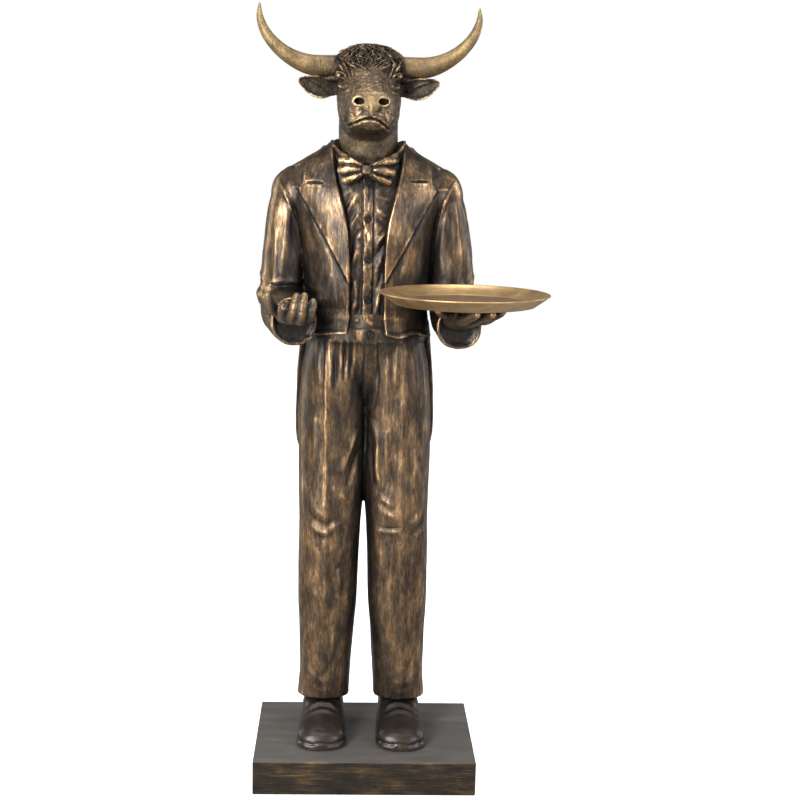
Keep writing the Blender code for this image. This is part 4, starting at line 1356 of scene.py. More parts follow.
@dataclass(frozen=True)
class Head:
    """The bull's skull, muzzle, lids, lips, ears, neck and horns."""

    skull: tuple = (
        (38, 655, 620, 13, 2, 1), (30, 668, 603, 23, 2.1, 1),
        (14, 675, 594, 28.8, 2.2, 0.99), (0, 676, 590, 30.5, 2.3, 0.975),
        (-14, 672, 590, 29.5, 2.4, 0.94), (-29, 661, 596.5, 26, 2.4, 0.86),
        (-44, 650, 599.5, 22.5, 2.4, 0.86), (-57, 642, 600.8, 20.8, 2.5, 0.92),
        (-68, 636.5, 601.5, 20.2, 2.6, 0.96), (-76, 632.5, 602.5, 18.2, 2.6, 0.96),
        (-80, 628, 607, 13, 2.4, 0.90),
    )
    neck: Sections = Sections((
        (540, 12, 24, 24, 26, 2), (570, 10, 27, 28, 30, 2),
        (600, 9, 28, 29, 33, 2.1), (630, 10, 26, 22, 32, 2.1),
        (650, 12, 22, 12, 24, 2),
    ))
    horn: tuple = (
        (24, 6, 660, 11), (40, 3, 660, 10.2),
        (58, -1, 661.5, 9.2), (75, -5, 668.5, 7.3),
        (87, -8, 677.5, 6), (97.5, -9, 691, 4.6),
        (101.8, -8, 704, 3), (102, -5, 714.8, 1),
    )
    ear: tuple = (
        (24, 6, 640, 5, 4), (34, 4, 640, 7.2, 4),
        (45, 1, 640.5, 9.8, 3.6), (55, -1, 642, 8.8, 3),
        (62, -2, 644.5, 5.6, 2.4), (66.5, -2, 646.5, 1.6, 1.4),
    )
    mouth: tuple = (
        (-19.2, 605.5), (-12.4, 607.6), (-6.7, 610.2), (0.7, 611.5),
        (8.2, 609.6), (13.9, 605.7), (17.9, 603.2),
    )
    nostril: tuple = (10.9, -80.0, 626.3)
    nose_middle: float = 1.45
    muzzle_shift: float = 1.15
    lids: tuple = (
        (
            (21, -29.2, 648.2, 0.5), (24.2, -27.2, 652.2, 0.65),
            (28.2, -23.2, 654, 0.7), (31, -17.6, 653, 0.6),
        ),
        (
            (21.2, -29, 647.8, 0.5), (24.8, -26.8, 648.4, 0.6),
            (28.4, -23, 649.6, 0.6), (31, -17.6, 651.6, 0.5),
        ),
    )
    ear_lines: tuple = (
        (36, 647.6, 45, 650, 54, 650.2, 62, 648.6, 0.8, 1.2),
        (36, 633.2, 45, 631.2, 54, 633.8, 61, 640.2, 0.8, 1.2),
        (58, 648, 50, 645.4, 43, 642.8, 36, 639.6, 0.8, 0.9),
        (56, 645.6, 49, 642.6, 42, 639.6, 36, 636.6, 0.9, -0.8),
    )
    wrinkles: tuple = (
        (31, 664.5, 26.2, 658.5, 20.8, 648.5, 0.75, 1.3), (28.5, 665, 24, 658.5, 19.4, 648, 0.7, -1.3),
        (26, 665.5, 21.8, 658.5, 17.8, 648, 0.75, 1.3), (23, 665, 19.4, 658, 16.2, 648, 0.7, -1.2),
        (20, 665, 17, 657.5, 14.6, 649, 0.75, 1.1), (20, 645, 24, 642.6, 28.8, 643.2, 0.8, -1.1),
        (19.5, 642.5, 24, 640.2, 28.8, 641, 0.9, 0.9), (19, 639.5, 23.5, 637.6, 28, 638.4, 0.8, -0.8),
        (17.5, 638, 21.5, 635.6, 26.5, 635.8, 0.9, 0.8),
        (14, 648, 12, 642, 12.6, 636, 1.2, -0.5), (24.5, 628, 23.8, 618, 22.6, 610, 1.5, 1),
        (20.8, 622, 19.8, 614, 21, 606, 1.3, -0.9), (27.5, 622, 27, 612, 25.5, 604, 1.5, 0.8),
        (16.8, 616, 15.5, 611.5, 17.4, 608, 1, 0.8), (7, 618.5, 9.5, 615.5, 13, 614.5, 1, 0.6),
    )

    def muzzle(self) -> Form:
        """The skull and muzzle in one skin."""
        places = steps(self.skull[0][0], self.skull[-1][0], 1.5)
        turns = full_turns(88)
        rings = []
        for y, (top, bottom, half_width, squareness, jaw) in zip(places, rows_at(self.skull, places)):
            taper = 1 - (1 - jaw) * (1 - np.sin(turns)) / 2
            x = half_width * taper * power(np.cos(turns), squareness)
            z = (top + bottom) / 2 + (top - bottom) / 2 * power(np.sin(turns), squareness)
            rings.append(np.stack([x, np.full(88, y), z], -1))
        return loft(rings)

    def earlobe(self) -> Form:
        """One ear: a leaf, round behind and hollow in front."""
        rows = smoothed_path(self.ear, 1.2)
        rings = []
        arc = np.linspace(-1, 1, 20)
        for x, y, z, half, thick in rows:
            cup = 3.2 * min(1.0, half / 7.0)
            bow = np.sqrt(np.clip(1 - arc ** 2, 0, 1))
            behind = y + thick * bow
            ahead = y - thick * 0.75 * (1 - arc ** 2) ** 0.15 + (cup + thick * 0.2) * bow ** 1.6
            ahead = np.minimum(ahead, behind - 1.3)
            back = np.stack([np.full(20, x), behind, z + half * arc], -1)
            front = np.stack([np.full(20, x), ahead, z + half * arc], -1)[::-1]
            rings.append(np.concatenate([back, front]))
        return loft(rings)

    def eye(self) -> list[Form]:
        """One eyeball with a lid above and below."""
        return [ball((27.4, -21.0, 651.2), (3.0, 3.0, 2.0))] + [limb(line, 16, 0.7) for line in self.lids]

    def forms(self) -> list[Form]:
        """The whole head and neck."""
        made = [self.muzzle(), self.neck.body()]
        made += ball((19.6, -15, 658.6), (9, 9, 4.5), 0.5).pair()
        made += ball((23.6, -20, 643), (5.2, 8.2, 3.0), 0.3).pair()
        for form in self.eye():
            made += form.pair()
        made += ball((10.9, -75, 626.3), (7.4, 6.6, 6.4)).pair()
        made += ball((12, -66, 612.5), (8.5, 13, 6.5)).pair()
        made += [ball((0, -77, 622), (10, 5.5, 10)), ball((0, -65, 606.0), (13.5, 13, 5.8))]
        made.append(ball((0, 4, 662), (30, 26, 17)))
        made += ball((33, 3, 650.0), (8.5, 5, 4.5)).pair()
        return made + self.earlobe().pair()

    def horns(self) -> list[Form]:
        """Both horns, which spread and then turn up."""
        return limb(self.horn, 48, 1.0).pair()

    def strokes(self) -> list[Stroke]:
        """Brow wrinkles, nose, lips and jowls."""
        front = [
            (*self.mouth, 0.75, -2.6),
            (*((x, z + 1.9) for x, z in self.mouth), 1.1, 0.6),
            (*((0.95 * x, z - 2.1) for x, z in self.mouth), 1.1, 0.6),
            ((1.9, 627), (1.9, 620), (1.9, 614), 0.7, 0.35),
            ((-0.7, 622), (-0.5, 618), (0.2, 614), 0.6, -0.7),
            ((4.3, 622), (4.2, 618), (3.6, 614), 0.6, -0.7),
            ((-13.1, 634.9), (-6, 635.6), (1.5, 635.9), (9, 635.7), (15.2, 635), 0.7, -1.2),
            ((-12.6, 633.4), (-6, 634), (1.5, 634.3), (9, 634.1), (14.8, 633.4), 0.8, 0.7),
            ((-6.9, 620.4), (-4, 617.6), (-0.9, 616.4), 0.7, -1),
            ((10.7, 620.4), (7.8, 617.6), (4.7, 616.4), 0.7, -1),
        ]
        made = drawn(front, taper=False) + drawn(self.wrinkles, mirrored=True)
        made += drawn(self.ear_lines, mirrored=True)
        for z, height in ((596, 0.5), (588, -0.4), (580, 0.5)):
            line = ((-24, z + 2), (-12, z - 1.5), (0, z - 2.5), (12, z - 1.5), (24, z + 2))
            made.append(Stroke(line, 2.2, height, Facing.FRONT, (-45, 0)))
        return made

    def carve(self, points: np.ndarray) -> np.ndarray:
        """Sets the muzzle over, presses the nostrils in and rings the horns.

        Args:
            points: The skin's points.

        Returns:
            The points' new places.
        """
        points = points + np.outer(np.clip((-44 - points[:, 1]) / 10, 0, 1), (self.muzzle_shift, 0, 0))
        moved = points.copy()
        nose_x, nose_y, nose_z = self.nostril
        spine = smoothed_path(self.horn, 1.0)
        for sign in (-1, 1):
            middle = np.array((self.nose_middle + sign * nose_x, nose_y, nose_z))
            share = np.clip(1 - (((points - middle) / (4.7, 9.0, 3.2)) ** 2).sum(axis=1), 0, 1)[:, None]
            moved += share ** 0.6 * np.array((0, 9.5, -0.4))
            across, up = points[:, 0] - middle[0], points[:, 2] - nose_z
            rim = np.exp(-(((np.hypot(across / 1.35, up) - 3.9) / 0.6) ** 2)) * (points[:, 1] < -66)
            moved[:, 1] -= 0.6 * rim * np.clip(0.55 - 0.5 * sign * across / 5, 0.1, 1)
            x, y, z = points.T
            near = np.flatnonzero((x * sign > 26) & (z > 643) & (np.abs(y) < 26))
            line = spine[:, :3] * (sign, 1, 1)
            gaps = np.linalg.norm(points[near, None] - line[None], axis=2)
            best = gaps.argmin(axis=1)
            on_horn = gaps[np.arange(len(near)), best] < spine[best, 3] + 1.6
            near, best = near[on_horn], best[on_horn]
            place = points[near, 0] * sign
            fade = np.clip((56 - place) / 16, 0, 1) * np.clip((place - 28) / 4, 0, 1)
            beat = np.sin(place * 3.3 + 1.6 * value_noise(points[near], (6, 6, 6), 41))
            out = points[near] - line[best]
            out /= np.linalg.norm(out, axis=1)[:, None] + 1e-6
            moved[near] += out * (0.48 * fade * beat)[:, None]
        return moved

    def gilt(self, points: np.ndarray) -> np.ndarray:
        """Where gold leaf is thick: the horns and the pad of the nose.

        Args:
            points: The skin's points.

        Returns:
            How gilt each point is, from 0 to 1.
        """
        x, y, z = np.abs(points[:, 0]), points[:, 1], points[:, 2]
        horn = np.clip((x - 28) / 8, 0, 1)
        low = np.interp(x, (0, 28, 45, 60, 75, 88, 110), (900, 654, 650.5, 650, 655, 660, 660))
        horn *= np.clip((z - low) / 2.0, 0, 1)
        half = np.interp(z, (614, 617, 620, 624, 632, 634.6), (2.4, 4.0, 8.0, 12.6, 14.4, 13.8))
        nose = np.clip((half - np.abs(points[:, 0] - self.nose_middle)) / 1.6, 0, 1)
        nose *= np.clip((634.8 - z) / 1.2, 0, 1) * np.clip((z - 614) / 2.0, 0, 1)
        skin = 0.15 + 0.45 * np.clip((598 - z) / 8, 0, 1) * (y > -50)
        return np.maximum.reduce([horn, 0.9 * nose * (y < -62), skin])


@dataclass(frozen=True)
class Forelock:
    """A mop of short wavy locks over the crown, from the nape to the brow."""

    middle: tuple = (0.0, 3.0, 661.5)
    radii: tuple = (30.0, 27.5, 17.6)
    locks: int = 640
    knots: int = 8
    lean: float = 0.6
    sides: int = 4
    seed: int = 7
    # The skull's height against its y, which the locks over the brow stay in front of
    forehead: tuple = ((650, 661, 672), (-44, -29, -14))

    def lock(self, draw: np.random.Generator, share: float) -> Form:
        """One lock, which lies on the crown, waves as it falls and lifts at its tip.

        Args:
            draw: The random numbers.
            share: Its place in the mop, from the crown down.

        Returns:
            The lock's skin.
        """
        turn = draw.uniform(-math.pi, math.pi)
        tilt = math.acos(1 - share * 1.6)
        length = draw.uniform(0.34, 0.64)
        curl = draw.uniform(-0.16, 0.16)
        phase = draw.uniform(0, 6.28)
        wave = draw.uniform(0.03, 0.10)
        thick = draw.uniform(0.85, 1.6)
        lift = draw.uniform(0.4, 3.4)
        along = np.linspace(0, 1, self.knots)
        at = tilt + length * along
        way = turn + curl * along + wave * np.sin(7.0 * along + phase) / np.maximum(0.35, np.sin(at))
        out = 1.0 + (0.4 + 1.2 * np.sin(math.pi * along) + lift * along ** 2) / 20.0
        spots = np.stack([np.sin(at) * np.sin(way), -np.sin(at) * np.cos(way), np.cos(at)], -1)
        tipped = np.array(Matrix.Rotation(-self.lean, 3, "X"))
        away = np.array(self.radii) * (spots @ tipped.T)
        points = np.array(self.middle) + away * out[:, None]
        ahead = np.interp(points[:, 2], *self.forehead) - 0.4 - 0.6 * lift * along ** 2
        fringe = (points[:, 1] < -15) & (np.abs(points[:, 0]) < 23)
        points[:, 1] = np.where(fringe, np.minimum(points[:, 1], ahead), points[:, 1])
        tangents = unit(np.gradient(points, axis=0))
        away = unit(away - tangents * (away * tangents).sum(axis=1)[:, None])
        side = np.cross(tangents, away)
        turns = full_turns(self.sides)
        broad, thin = np.cos(turns)[None, :, None], 0.8 * np.sin(turns)[None, :, None]
        circle = broad * away[:, None] + thin * side[:, None]
        girth = thick * (1 - 0.88 * along ** 1.3)
        return loft(points[:, None] + girth[:, None, None] * circle)

    def covers(self, points: np.ndarray) -> np.ndarray:
        """Which points of the skull lie under the mop.

        Args:
            points: The skin's points.

        Returns:
            Whether each point is covered.
        """
        away = (points - np.array(self.middle)) / (np.array(self.radii) + 1.5)
        above = points[:, 2] > self.brow(points) + 1.0
        return ((away ** 2).sum(axis=1) < 1.0) & above & (np.abs(points[:, 0]) < 32)

    @staticmethod
    def brow(points: np.ndarray) -> np.ndarray:
        """The height that the hair in front keeps above, higher toward the temples."""
        return np.where(points[:, 1] < -8, 653.0 + 0.30 * np.abs(points[:, 0]), 640.0)

    def build(self) -> Object:
        """All the locks as one mesh object."""
        draw = np.random.default_rng(self.seed)
        forms = []
        for k in range(self.locks):
            form = self.lock(draw, (k + 0.5) / self.locks)
            tip = form.points[-self.sides:]
            if (tip[:, 2] < self.brow(tip)).any() or (np.abs(tip[:, 0]) > 33.5).any():
                continue
            forms.append(form)
        locks = gathered("locks", forms)
        lift = np.tile(np.repeat(np.linspace(-1.0, 1.5, self.knots), self.sides), len(forms))
        lift += np.repeat(draw.uniform(-0.5, 0.5, len(forms)), self.knots * self.sides)
        write_values(locks.data, "ridge", lift + draw.uniform(-0.2, 0.2, len(lift)))
        for name in ("crown", "gilt"):
            write_values(locks.data, name, np.zeros(len(lift)))
        set_regions(locks.data, Region.HAIR.value)
        LOG.info("locks: %d", len(forms))
        return locks


# Finishes


def linear(colour: str) -> tuple[float, float, float, float]:
    """An sRGB hex colour as a linear colour with alpha."""
    parts = [int(colour[k:k + 2], 16) / 255 for k in (1, 3, 5)]
    return (*[p / 12.92 if p <= 0.04045 else ((p + 0.055) / 1.055) ** 2.4 for p in parts], 1.0)


def feed(tree: NodeTree, target: Node, inputs: dict) -> None:
    """Sets a node's inputs.

    Args:
        tree: The node's tree.
        target: The node.
        inputs: A value or an output socket for each input's name or number.
    """
    for key, value in inputs.items():
        if isinstance(value, NodeSocket):
            tree.links.new(value, target.inputs[key])
        else:
            target.inputs[key].default_value = value


def node(tree: NodeTree, kind: str, inputs: dict | None = None, **settings: object) -> Node:
    """Adds a node to a tree.

    Args:
        tree: The material's node tree.
        kind: The node's type name after ShaderNode.
        inputs: A value or an output socket for each input's name or number.
        settings: Properties of the node.

    Returns:
        The new node.
    """
    made = tree.nodes.new("ShaderNode" + kind)
    for name, value in settings.items():
        setattr(made, name, value)
    feed(tree, made, inputs or {})
    return made


def new_material(name: str) -> tuple[Material, NodeTree, Node]:
    """Makes a material.

    Args:
        name: The finish that it shows.

    Returns:
        The material, its tree and its shader.
    """
    made = bpy.data.materials.new(name)
    made.use_nodes = True
    return made, made.node_tree, made.node_tree.nodes["Principled BSDF"]


def maths(tree: NodeTree, operation: str, *values: object, clamp: bool = False) -> NodeSocket:
    """The result of one Math node."""
    made = node(tree, "Math", dict(enumerate(values)), operation=operation, use_clamp=clamp)
    return made.outputs[0]


def weighted(tree: NodeTree, base: float, terms: list[tuple]) -> NodeSocket:
    """A sum of sockets, each times a weight and less an offset first.

    Args:
        tree: The material's tree.
        base: A number to add.
        terms: Rows of a socket, its weight and the offset.

    Returns:
        The sum.
    """
    total = None
    for socket, weight, offset in terms:
        share = maths(tree, "MULTIPLY_ADD", socket, weight, -offset * weight)
        total = share if total is None else maths(tree, "ADD", total, share)
    return maths(tree, "ADD", total, base)


def ramp(tree: NodeTree, factor: NodeSocket, stops: tuple) -> NodeSocket:
    """A colour ramp.

    Args:
        tree: The material's tree.
        factor: The value that it reads.
        stops: Pairs of a place and an sRGB hex colour.

    Returns:
        The colour.
    """
    made = node(tree, "ValToRGB", {0: factor})
    elements = made.color_ramp.elements
    while len(elements) < len(stops):
        elements.new(0.5)
    for element, (place, colour) in zip(elements, stops):
        element.position = place
        element.color = linear(colour)
    return made.outputs[0]


def between(
    tree: NodeTree, value: NodeSocket, source: tuple, target: tuple
) -> NodeSocket:
    """A value moved from one range to another, and held inside it."""
    return node(tree, "MapRange", dict(enumerate((value, *source, *target)))).outputs[0]


def mixed(
    tree: NodeTree, share: NodeSocket, first: object, second: object, colours: bool = True
) -> NodeSocket:
    """Blends two sockets or values.

    Args:
        tree: The material's tree.
        share: How much of the second one shows.
        first: The first.
        second: The second.
        colours: Whether they are colours, and not numbers.

    Returns:
        The blend.
    """
    kind, at, result = ("RGBA", 6, 2) if colours else ("FLOAT", 2, 0)
    return node(tree, "Mix", {0: share, at: first, at + 1: second}, data_type=kind).outputs[result]


def attribute(tree: NodeTree, name: str) -> NodeSocket:
    """A number stored on the mesh."""
    return node(tree, "Attribute", attribute_name=name).outputs["Fac"]


def noise(
    tree: NodeTree, vector: NodeSocket, size: float, detail: float, rough: float, stretch: tuple = (1, 1, 1)
) -> NodeSocket:
    """Noise with features of a size in metres, stretched along each axis by a number of times.

    Args:
        tree: The material's tree.
        vector: Where it is read.
        size: The size of its features.
        detail: Its finer layers.
        rough: How strong they are.
        stretch: How many times longer along each axis.

    Returns:
        The noise.
    """
    mapping = node(tree, "Mapping", {0: vector, "Scale": tuple(1 / s for s in stretch)})
    inputs = {"Vector": mapping.outputs[0], "Scale": 1 / size, "Detail": detail, "Roughness": rough}
    return node(tree, "TexNoise", inputs).outputs[0]


@dataclass(frozen=True)
class Patina:
    """Dark bronze paint with gold rubbed over its high places by a dry brush, and darker in closed places: a
    dark wash there, deepened by painted shade.
    """

    name: str
    stops: tuple = (
        (0.0, "#12100e"),
        (0.22, "#26201b"),
        (0.42, "#463a2f"),
        (0.58, "#6b5843"),
        (0.74, "#97795a"),
        (0.88, "#c6a37c"),
        (1.0, "#efd3a8"),
    )
    gold: tuple = (
        (0.0, "#1d1710"),
        (0.25, "#473a28"),
        (0.5, "#7f6a49"),
        (0.75, "#b0966b"),
        (1.0, "#e6d2a6"),
    )
    level: float = 0.37
    ridge: float = 0.50
    crown: float = 0.11
    # Weight of the darkening where little of the sky is seen: the dark wash of the hollows together with
    # painted shade in creases, under folds and between parts
    wash_and_shade: float = 0.85
    cloud: float = 1.15
    brushed: float = 0.65
    scratch: float = 0.55
    grit: float = 0.45
    stretch: float = 5.5
    roughness: tuple = (0.44, 0.32)
    metallic: tuple = (0.45, 0.92)
    coat: float = 0.10
    grain: float = 0.32
    hide: float = 0.0

    def marks(self, tree: NodeTree) -> dict:
        """The noises that break up the paint, by name.

        Args:
            tree: The material's tree.

        Returns:
            Each noise by its name.
        """
        place = node(tree, "TexCoord").outputs["Object"]
        long = self.stretch
        return {
            "cloud": noise(tree, place, 0.012, 3.0, 0.60, (1, 1, 1 + 0.3 * long)),
            "brushed": noise(tree, place, 0.0027, 4.0, 0.62, (1, 1, long)),
            "scratch": noise(tree, place, 0.0009, 2.0, 0.60, (1, 1, 1 + 1.5 * (long - 1))),
            "grit": noise(tree, place, 0.0007, 2.0, 0.75),
            "pores": noise(tree, place, 0.0022, 4.0, 0.62),
        }

    def material(self) -> Material:
        """Makes the material."""
        made, tree, shader = new_material(self.name)
        marks = self.marks(tree)
        ridge, crown = attribute(tree, "ridge"), attribute(tree, "crown")
        sky, gilt = attribute(tree, "sky"), attribute(tree, "gilt")
        height = weighted(tree, self.level, [
            (ridge, self.ridge, 0.0),
            (crown, self.crown, 0.0),
            # Darker where little of the sky is seen: painted shade in creases, under folds and between
            # parts, with the dark wash of the hollows
            (sky, self.wash_and_shade, 0.72),
            (marks["cloud"], self.cloud, 0.5),
            (marks["brushed"], self.brushed, 0.5),
            (marks["scratch"], self.scratch, 0.5),
            (marks["grit"], self.grit, 0.5),
            (marks["pores"], 1.2 * self.hide, 0.5),
        ])
        bronze = ramp(tree, height, self.stops)
        leaf_height = weighted(tree, 0.50, [
            (ridge, 0.22, 0.0),
            # The gilt also darkens where little of the sky is seen: painted shade
            (sky, 0.38, 0.76),
            (marks["cloud"], 0.65, 0.5),
            (marks["brushed"], 0.35, 0.5),
            (marks["grit"], 0.24, 0.5),
        ])
        leaf = ramp(tree, leaf_height, self.gold)
        edges = [(gilt, 1.0, 0.0), (marks["brushed"], 1.2, 0.5), (marks["grit"], 1.4, 0.5)]
        ragged = weighted(tree, 0.0, edges)
        cover = maths(tree, "MULTIPLY", ragged, maths(tree, "GREATER_THAN", gilt, 0.02), clamp=True)
        worn = mixed(tree, cover, height, leaf_height, colours=False)
        speckle = maths(tree, "SUBTRACT", marks["grit"], 0.5)
        rough = between(tree, worn, (0.15, 0.9), self.roughness)
        feed(tree, shader, {
            "Base Color": mixed(tree, cover, bronze, leaf),
            "Roughness": maths(tree, "MULTIPLY_ADD", speckle, 0.25, rough),
            "Metallic": between(tree, worn, (0.2, 0.75), self.metallic),
            "Normal": self.bump(tree, marks),
            "Coat Weight": self.coat,
            "Coat Roughness": 0.30,
        })
        return made

    def bump(self, tree: NodeTree, marks: dict) -> NodeSocket:
        """Fine tooling in the paint: bristle marks, grit and, on skin, a hide's grain.

        Args:
            tree: The material's tree.
            marks: The noises by name.

        Returns:
            The bent normal.
        """
        relief = weighted(tree, 0.0, [
            (marks["brushed"], 0.5, 0.5),
            (marks["scratch"], 0.6, 0.5),
            (marks["grit"], 0.5, 0.5),
            (marks["pores"], 1.6 * self.hide, 0.5),
        ])
        shaped = node(tree, "Bump", {"Strength": 0.6, "Distance": 0.0011 * self.grain, "Height": relief})
        return shaped.outputs[0]


def finishes() -> list[Material]:
    """The casting's finishes, in the order of the regions."""
    return [
        # Wool of the coat and trousers: clouds of copper and fine scratches over near-black brown
        Patina("rubbed bronze cloth").material(),
        # Shirt and tie: the same paint, rubbed brighter over the crumpled folds
        Patina(
            "rubbed copper shirt", level=0.48, ridge=0.52, stretch=2.0, cloud=1.0, wash_and_shade=1.0,
            roughness=(0.48, 0.36),
        ).material(),
        # Skin: mottled, gritty and a little greyer, with gilt on the horns and nose
        Patina(
            "mottled bronze hide", level=0.28, ridge=0.75, brushed=0.30, cloud=1.0, scratch=0.2, grit=1.2,
            wash_and_shade=1.0, stretch=1.4, grain=0.4, hide=1.7, roughness=(0.54, 0.42), metallic=(0.35, 0.85),
        ).material(),
        # Hands: smooth dark brown with a soft shine, gold only on the fingertips
        Patina(
            "dark bronze hand", level=0.32, ridge=0.30, brushed=0.3, cloud=0.6, scratch=0.25, grit=0.35,
            stretch=2.0, grain=0.12, roughness=(0.50, 0.40), metallic=(0.3, 0.75),
        ).material(),
        # Shoe leather: near black and smoother, with a greyish sheen, copper worn through at the toe
        Patina(
            "dark bronze leather", level=0.16, ridge=0.34, crown=0.02, wash_and_shade=0.30, brushed=0.2, cloud=0.6,
            scratch=0.15, grit=0.25, stretch=1.0, grain=0.10, roughness=(0.38, 0.30), metallic=(0.05, 0.8),
            coat=0.20,
        ).material(),
        # Hair: dark roots with gold dragged over the tips
        Patina(
            "gilt-tipped hair", level=0.40, ridge=0.42, brushed=0.35, cloud=0.6, scratch=0.25, wash_and_shade=0.9,
            stretch=1.0, grain=0.2,
        ).material(),
    ]


@dataclass(frozen=True)
class PlinthFinish:
    """Satin black top, painted a lighter grey to stand for its reflection, and sides with gold dragged along
    them by a wide brush.
    """

    name: str = "brushed black and gold plinth"
    sides: tuple = (
        (0.0, "#14110e"), (0.35, "#2c241b"), (0.6, "#5a4830"), (0.85, "#957a50"), (1.0, "#cdb07c"),
    )
    # Greys of the top: its own dark satin paint, lifted lighter as a painted reflection
    top: tuple = ((0.0, "#484643"), (0.5, "#65625e"), (1.0, "#86827d"))

    def material(self) -> Material:
        """Makes the material."""
        made, tree, shader = new_material(self.name)
        place = node(tree, "TexCoord").outputs["Object"]
        normal = node(tree, "NewGeometry").outputs["True Normal"]
        upward = maths(tree, "ABSOLUTE", node(tree, "SeparateXYZ", {0: normal}).outputs[2])
        flat = between(tree, upward, (0.75, 0.95), (0.0, 1.0))
        drag = noise(tree, place, 0.0016, 5.0, 0.62, (22, 22, 1))
        blotch = noise(tree, place, 0.016, 4.0, 0.6, (2.4, 2.4, 1))
        grit = noise(tree, place, 0.0012, 3.0, 0.7)
        sweep = noise(tree, place, 0.010, 5.0, 0.6, (5, 1.2, 1))
        gold = weighted(tree, 0.32, [(drag, 1.3, 0.5), (blotch, 1.3, 0.5), (grit, 0.35, 0.5)])
        height = node(tree, "SeparateXYZ", {0: place}).outputs[2]
        edge = between(tree, height, (SOLE_HEIGHT - 0.0022, SOLE_HEIGHT - 0.0008), (0.0, 0.12))
        gold = maths(tree, "ADD", gold, edge, clamp=True)
        side = ramp(tree, gold, self.sides)
        # The top's colour: dark paint lifted lighter as a painted reflection
        top = ramp(tree, weighted(tree, 0.45, [(sweep, 0.9, 0.5), (grit, 0.35, 0.5)]), self.top)
        metal = between(tree, gold, (0.3, 0.9), (0.25, 0.85))
        relief = weighted(tree, 0.0, [(drag, 0.6, 0.5), (grit, 0.4, 0.5), (sweep, 0.4, 0.5)])
        bump = node(tree, "Bump", {"Strength": 0.5, "Distance": 0.00035, "Height": relief})
        feed(tree, shader, {
            "Base Color": mixed(tree, flat, side, top),
            "Metallic": mixed(tree, flat, metal, 0.1, colours=False),
            "Roughness": maths(tree, "MULTIPLY_ADD", grit, 0.2, 0.40),
            "Normal": bump.outputs[0],
        })
        return made


@dataclass(frozen=True)
class TrayFinish:
    """Antique gold, brushed round the tray, with its floor paler as a painted reflection, and darker stains.
    """

    centre: tuple
    floor_radius: float
    name: str = "brushed antique gold tray"
    gold: tuple = (
        (0.0, "#6a5335"), (0.35, "#b29062"), (0.6, "#d8b582"), (0.85, "#f0d6a6"), (1.0, "#ffeecb"),
    )
    # Paler colours for the floor: a painted reflection of the bright room
    pale: tuple = ((0.0, "#5f4e3b"), (0.4, "#978169"), (0.7, "#b59f86"), (1.0, "#d0bfa6"))

    def material(self) -> Material:
        """Makes the material."""
        made, tree, shader = new_material(self.name)
        place = node(tree, "TexCoord").outputs["Object"]
        local = node(tree, "VectorMath", {0: place, 1: self.centre}, operation="SUBTRACT").outputs[0]
        x, y, z = node(tree, "SeparateXYZ", {0: local}).outputs
        squares = [maths(tree, "MULTIPLY", part, part) for part in (x, y)]
        across = maths(tree, "SQRT", maths(tree, "ADD", *squares))
        turn = maths(tree, "MULTIPLY", maths(tree, "ARCTAN2", y, x), 0.006)
        polar = node(tree, "CombineXYZ", {0: across, 1: turn, 2: z}).outputs[0]
        rings = noise(tree, polar, 0.0011, 4.0, 0.6)
        blotch = noise(tree, place, 0.014, 4.0, 0.6, (1.6, 1, 1))
        grit = noise(tree, place, 0.0010, 3.0, 0.7)
        height = weighted(tree, 0.52, [(rings, 0.5, 0.5), (blotch, 0.65, 0.5), (grit, 0.3, 0.5)])
        gold, pale = ramp(tree, height, self.gold), ramp(tree, height, self.pale)
        normal = node(tree, "NewGeometry").outputs["True Normal"]
        upward = node(tree, "SeparateXYZ", {0: normal}).outputs[2]
        # The upward-facing floor inside the wall takes the paler colours: a painted reflection
        inside = maths(tree, "LESS_THAN", across, self.floor_radius)
        inside = maths(tree, "MULTIPLY", inside, maths(tree, "LESS_THAN", z, 0.0021))
        inside = maths(tree, "MULTIPLY", inside, maths(tree, "GREATER_THAN", upward, 0.5))
        relief = weighted(tree, 0.0, [(rings, 0.8, 0.5), (grit, 0.3, 0.5)])
        bump = node(tree, "Bump", {"Strength": 0.5, "Distance": 0.00012, "Height": relief})
        feed(tree, shader, {
            "Base Color": mixed(tree, inside, gold, pale),
            "Roughness": maths(tree, "MULTIPLY_ADD", blotch, 0.25, 0.24),
            "Normal": bump.outputs[0],
            "Metallic": 0.8,
        })
        return made


# The statue's pieces


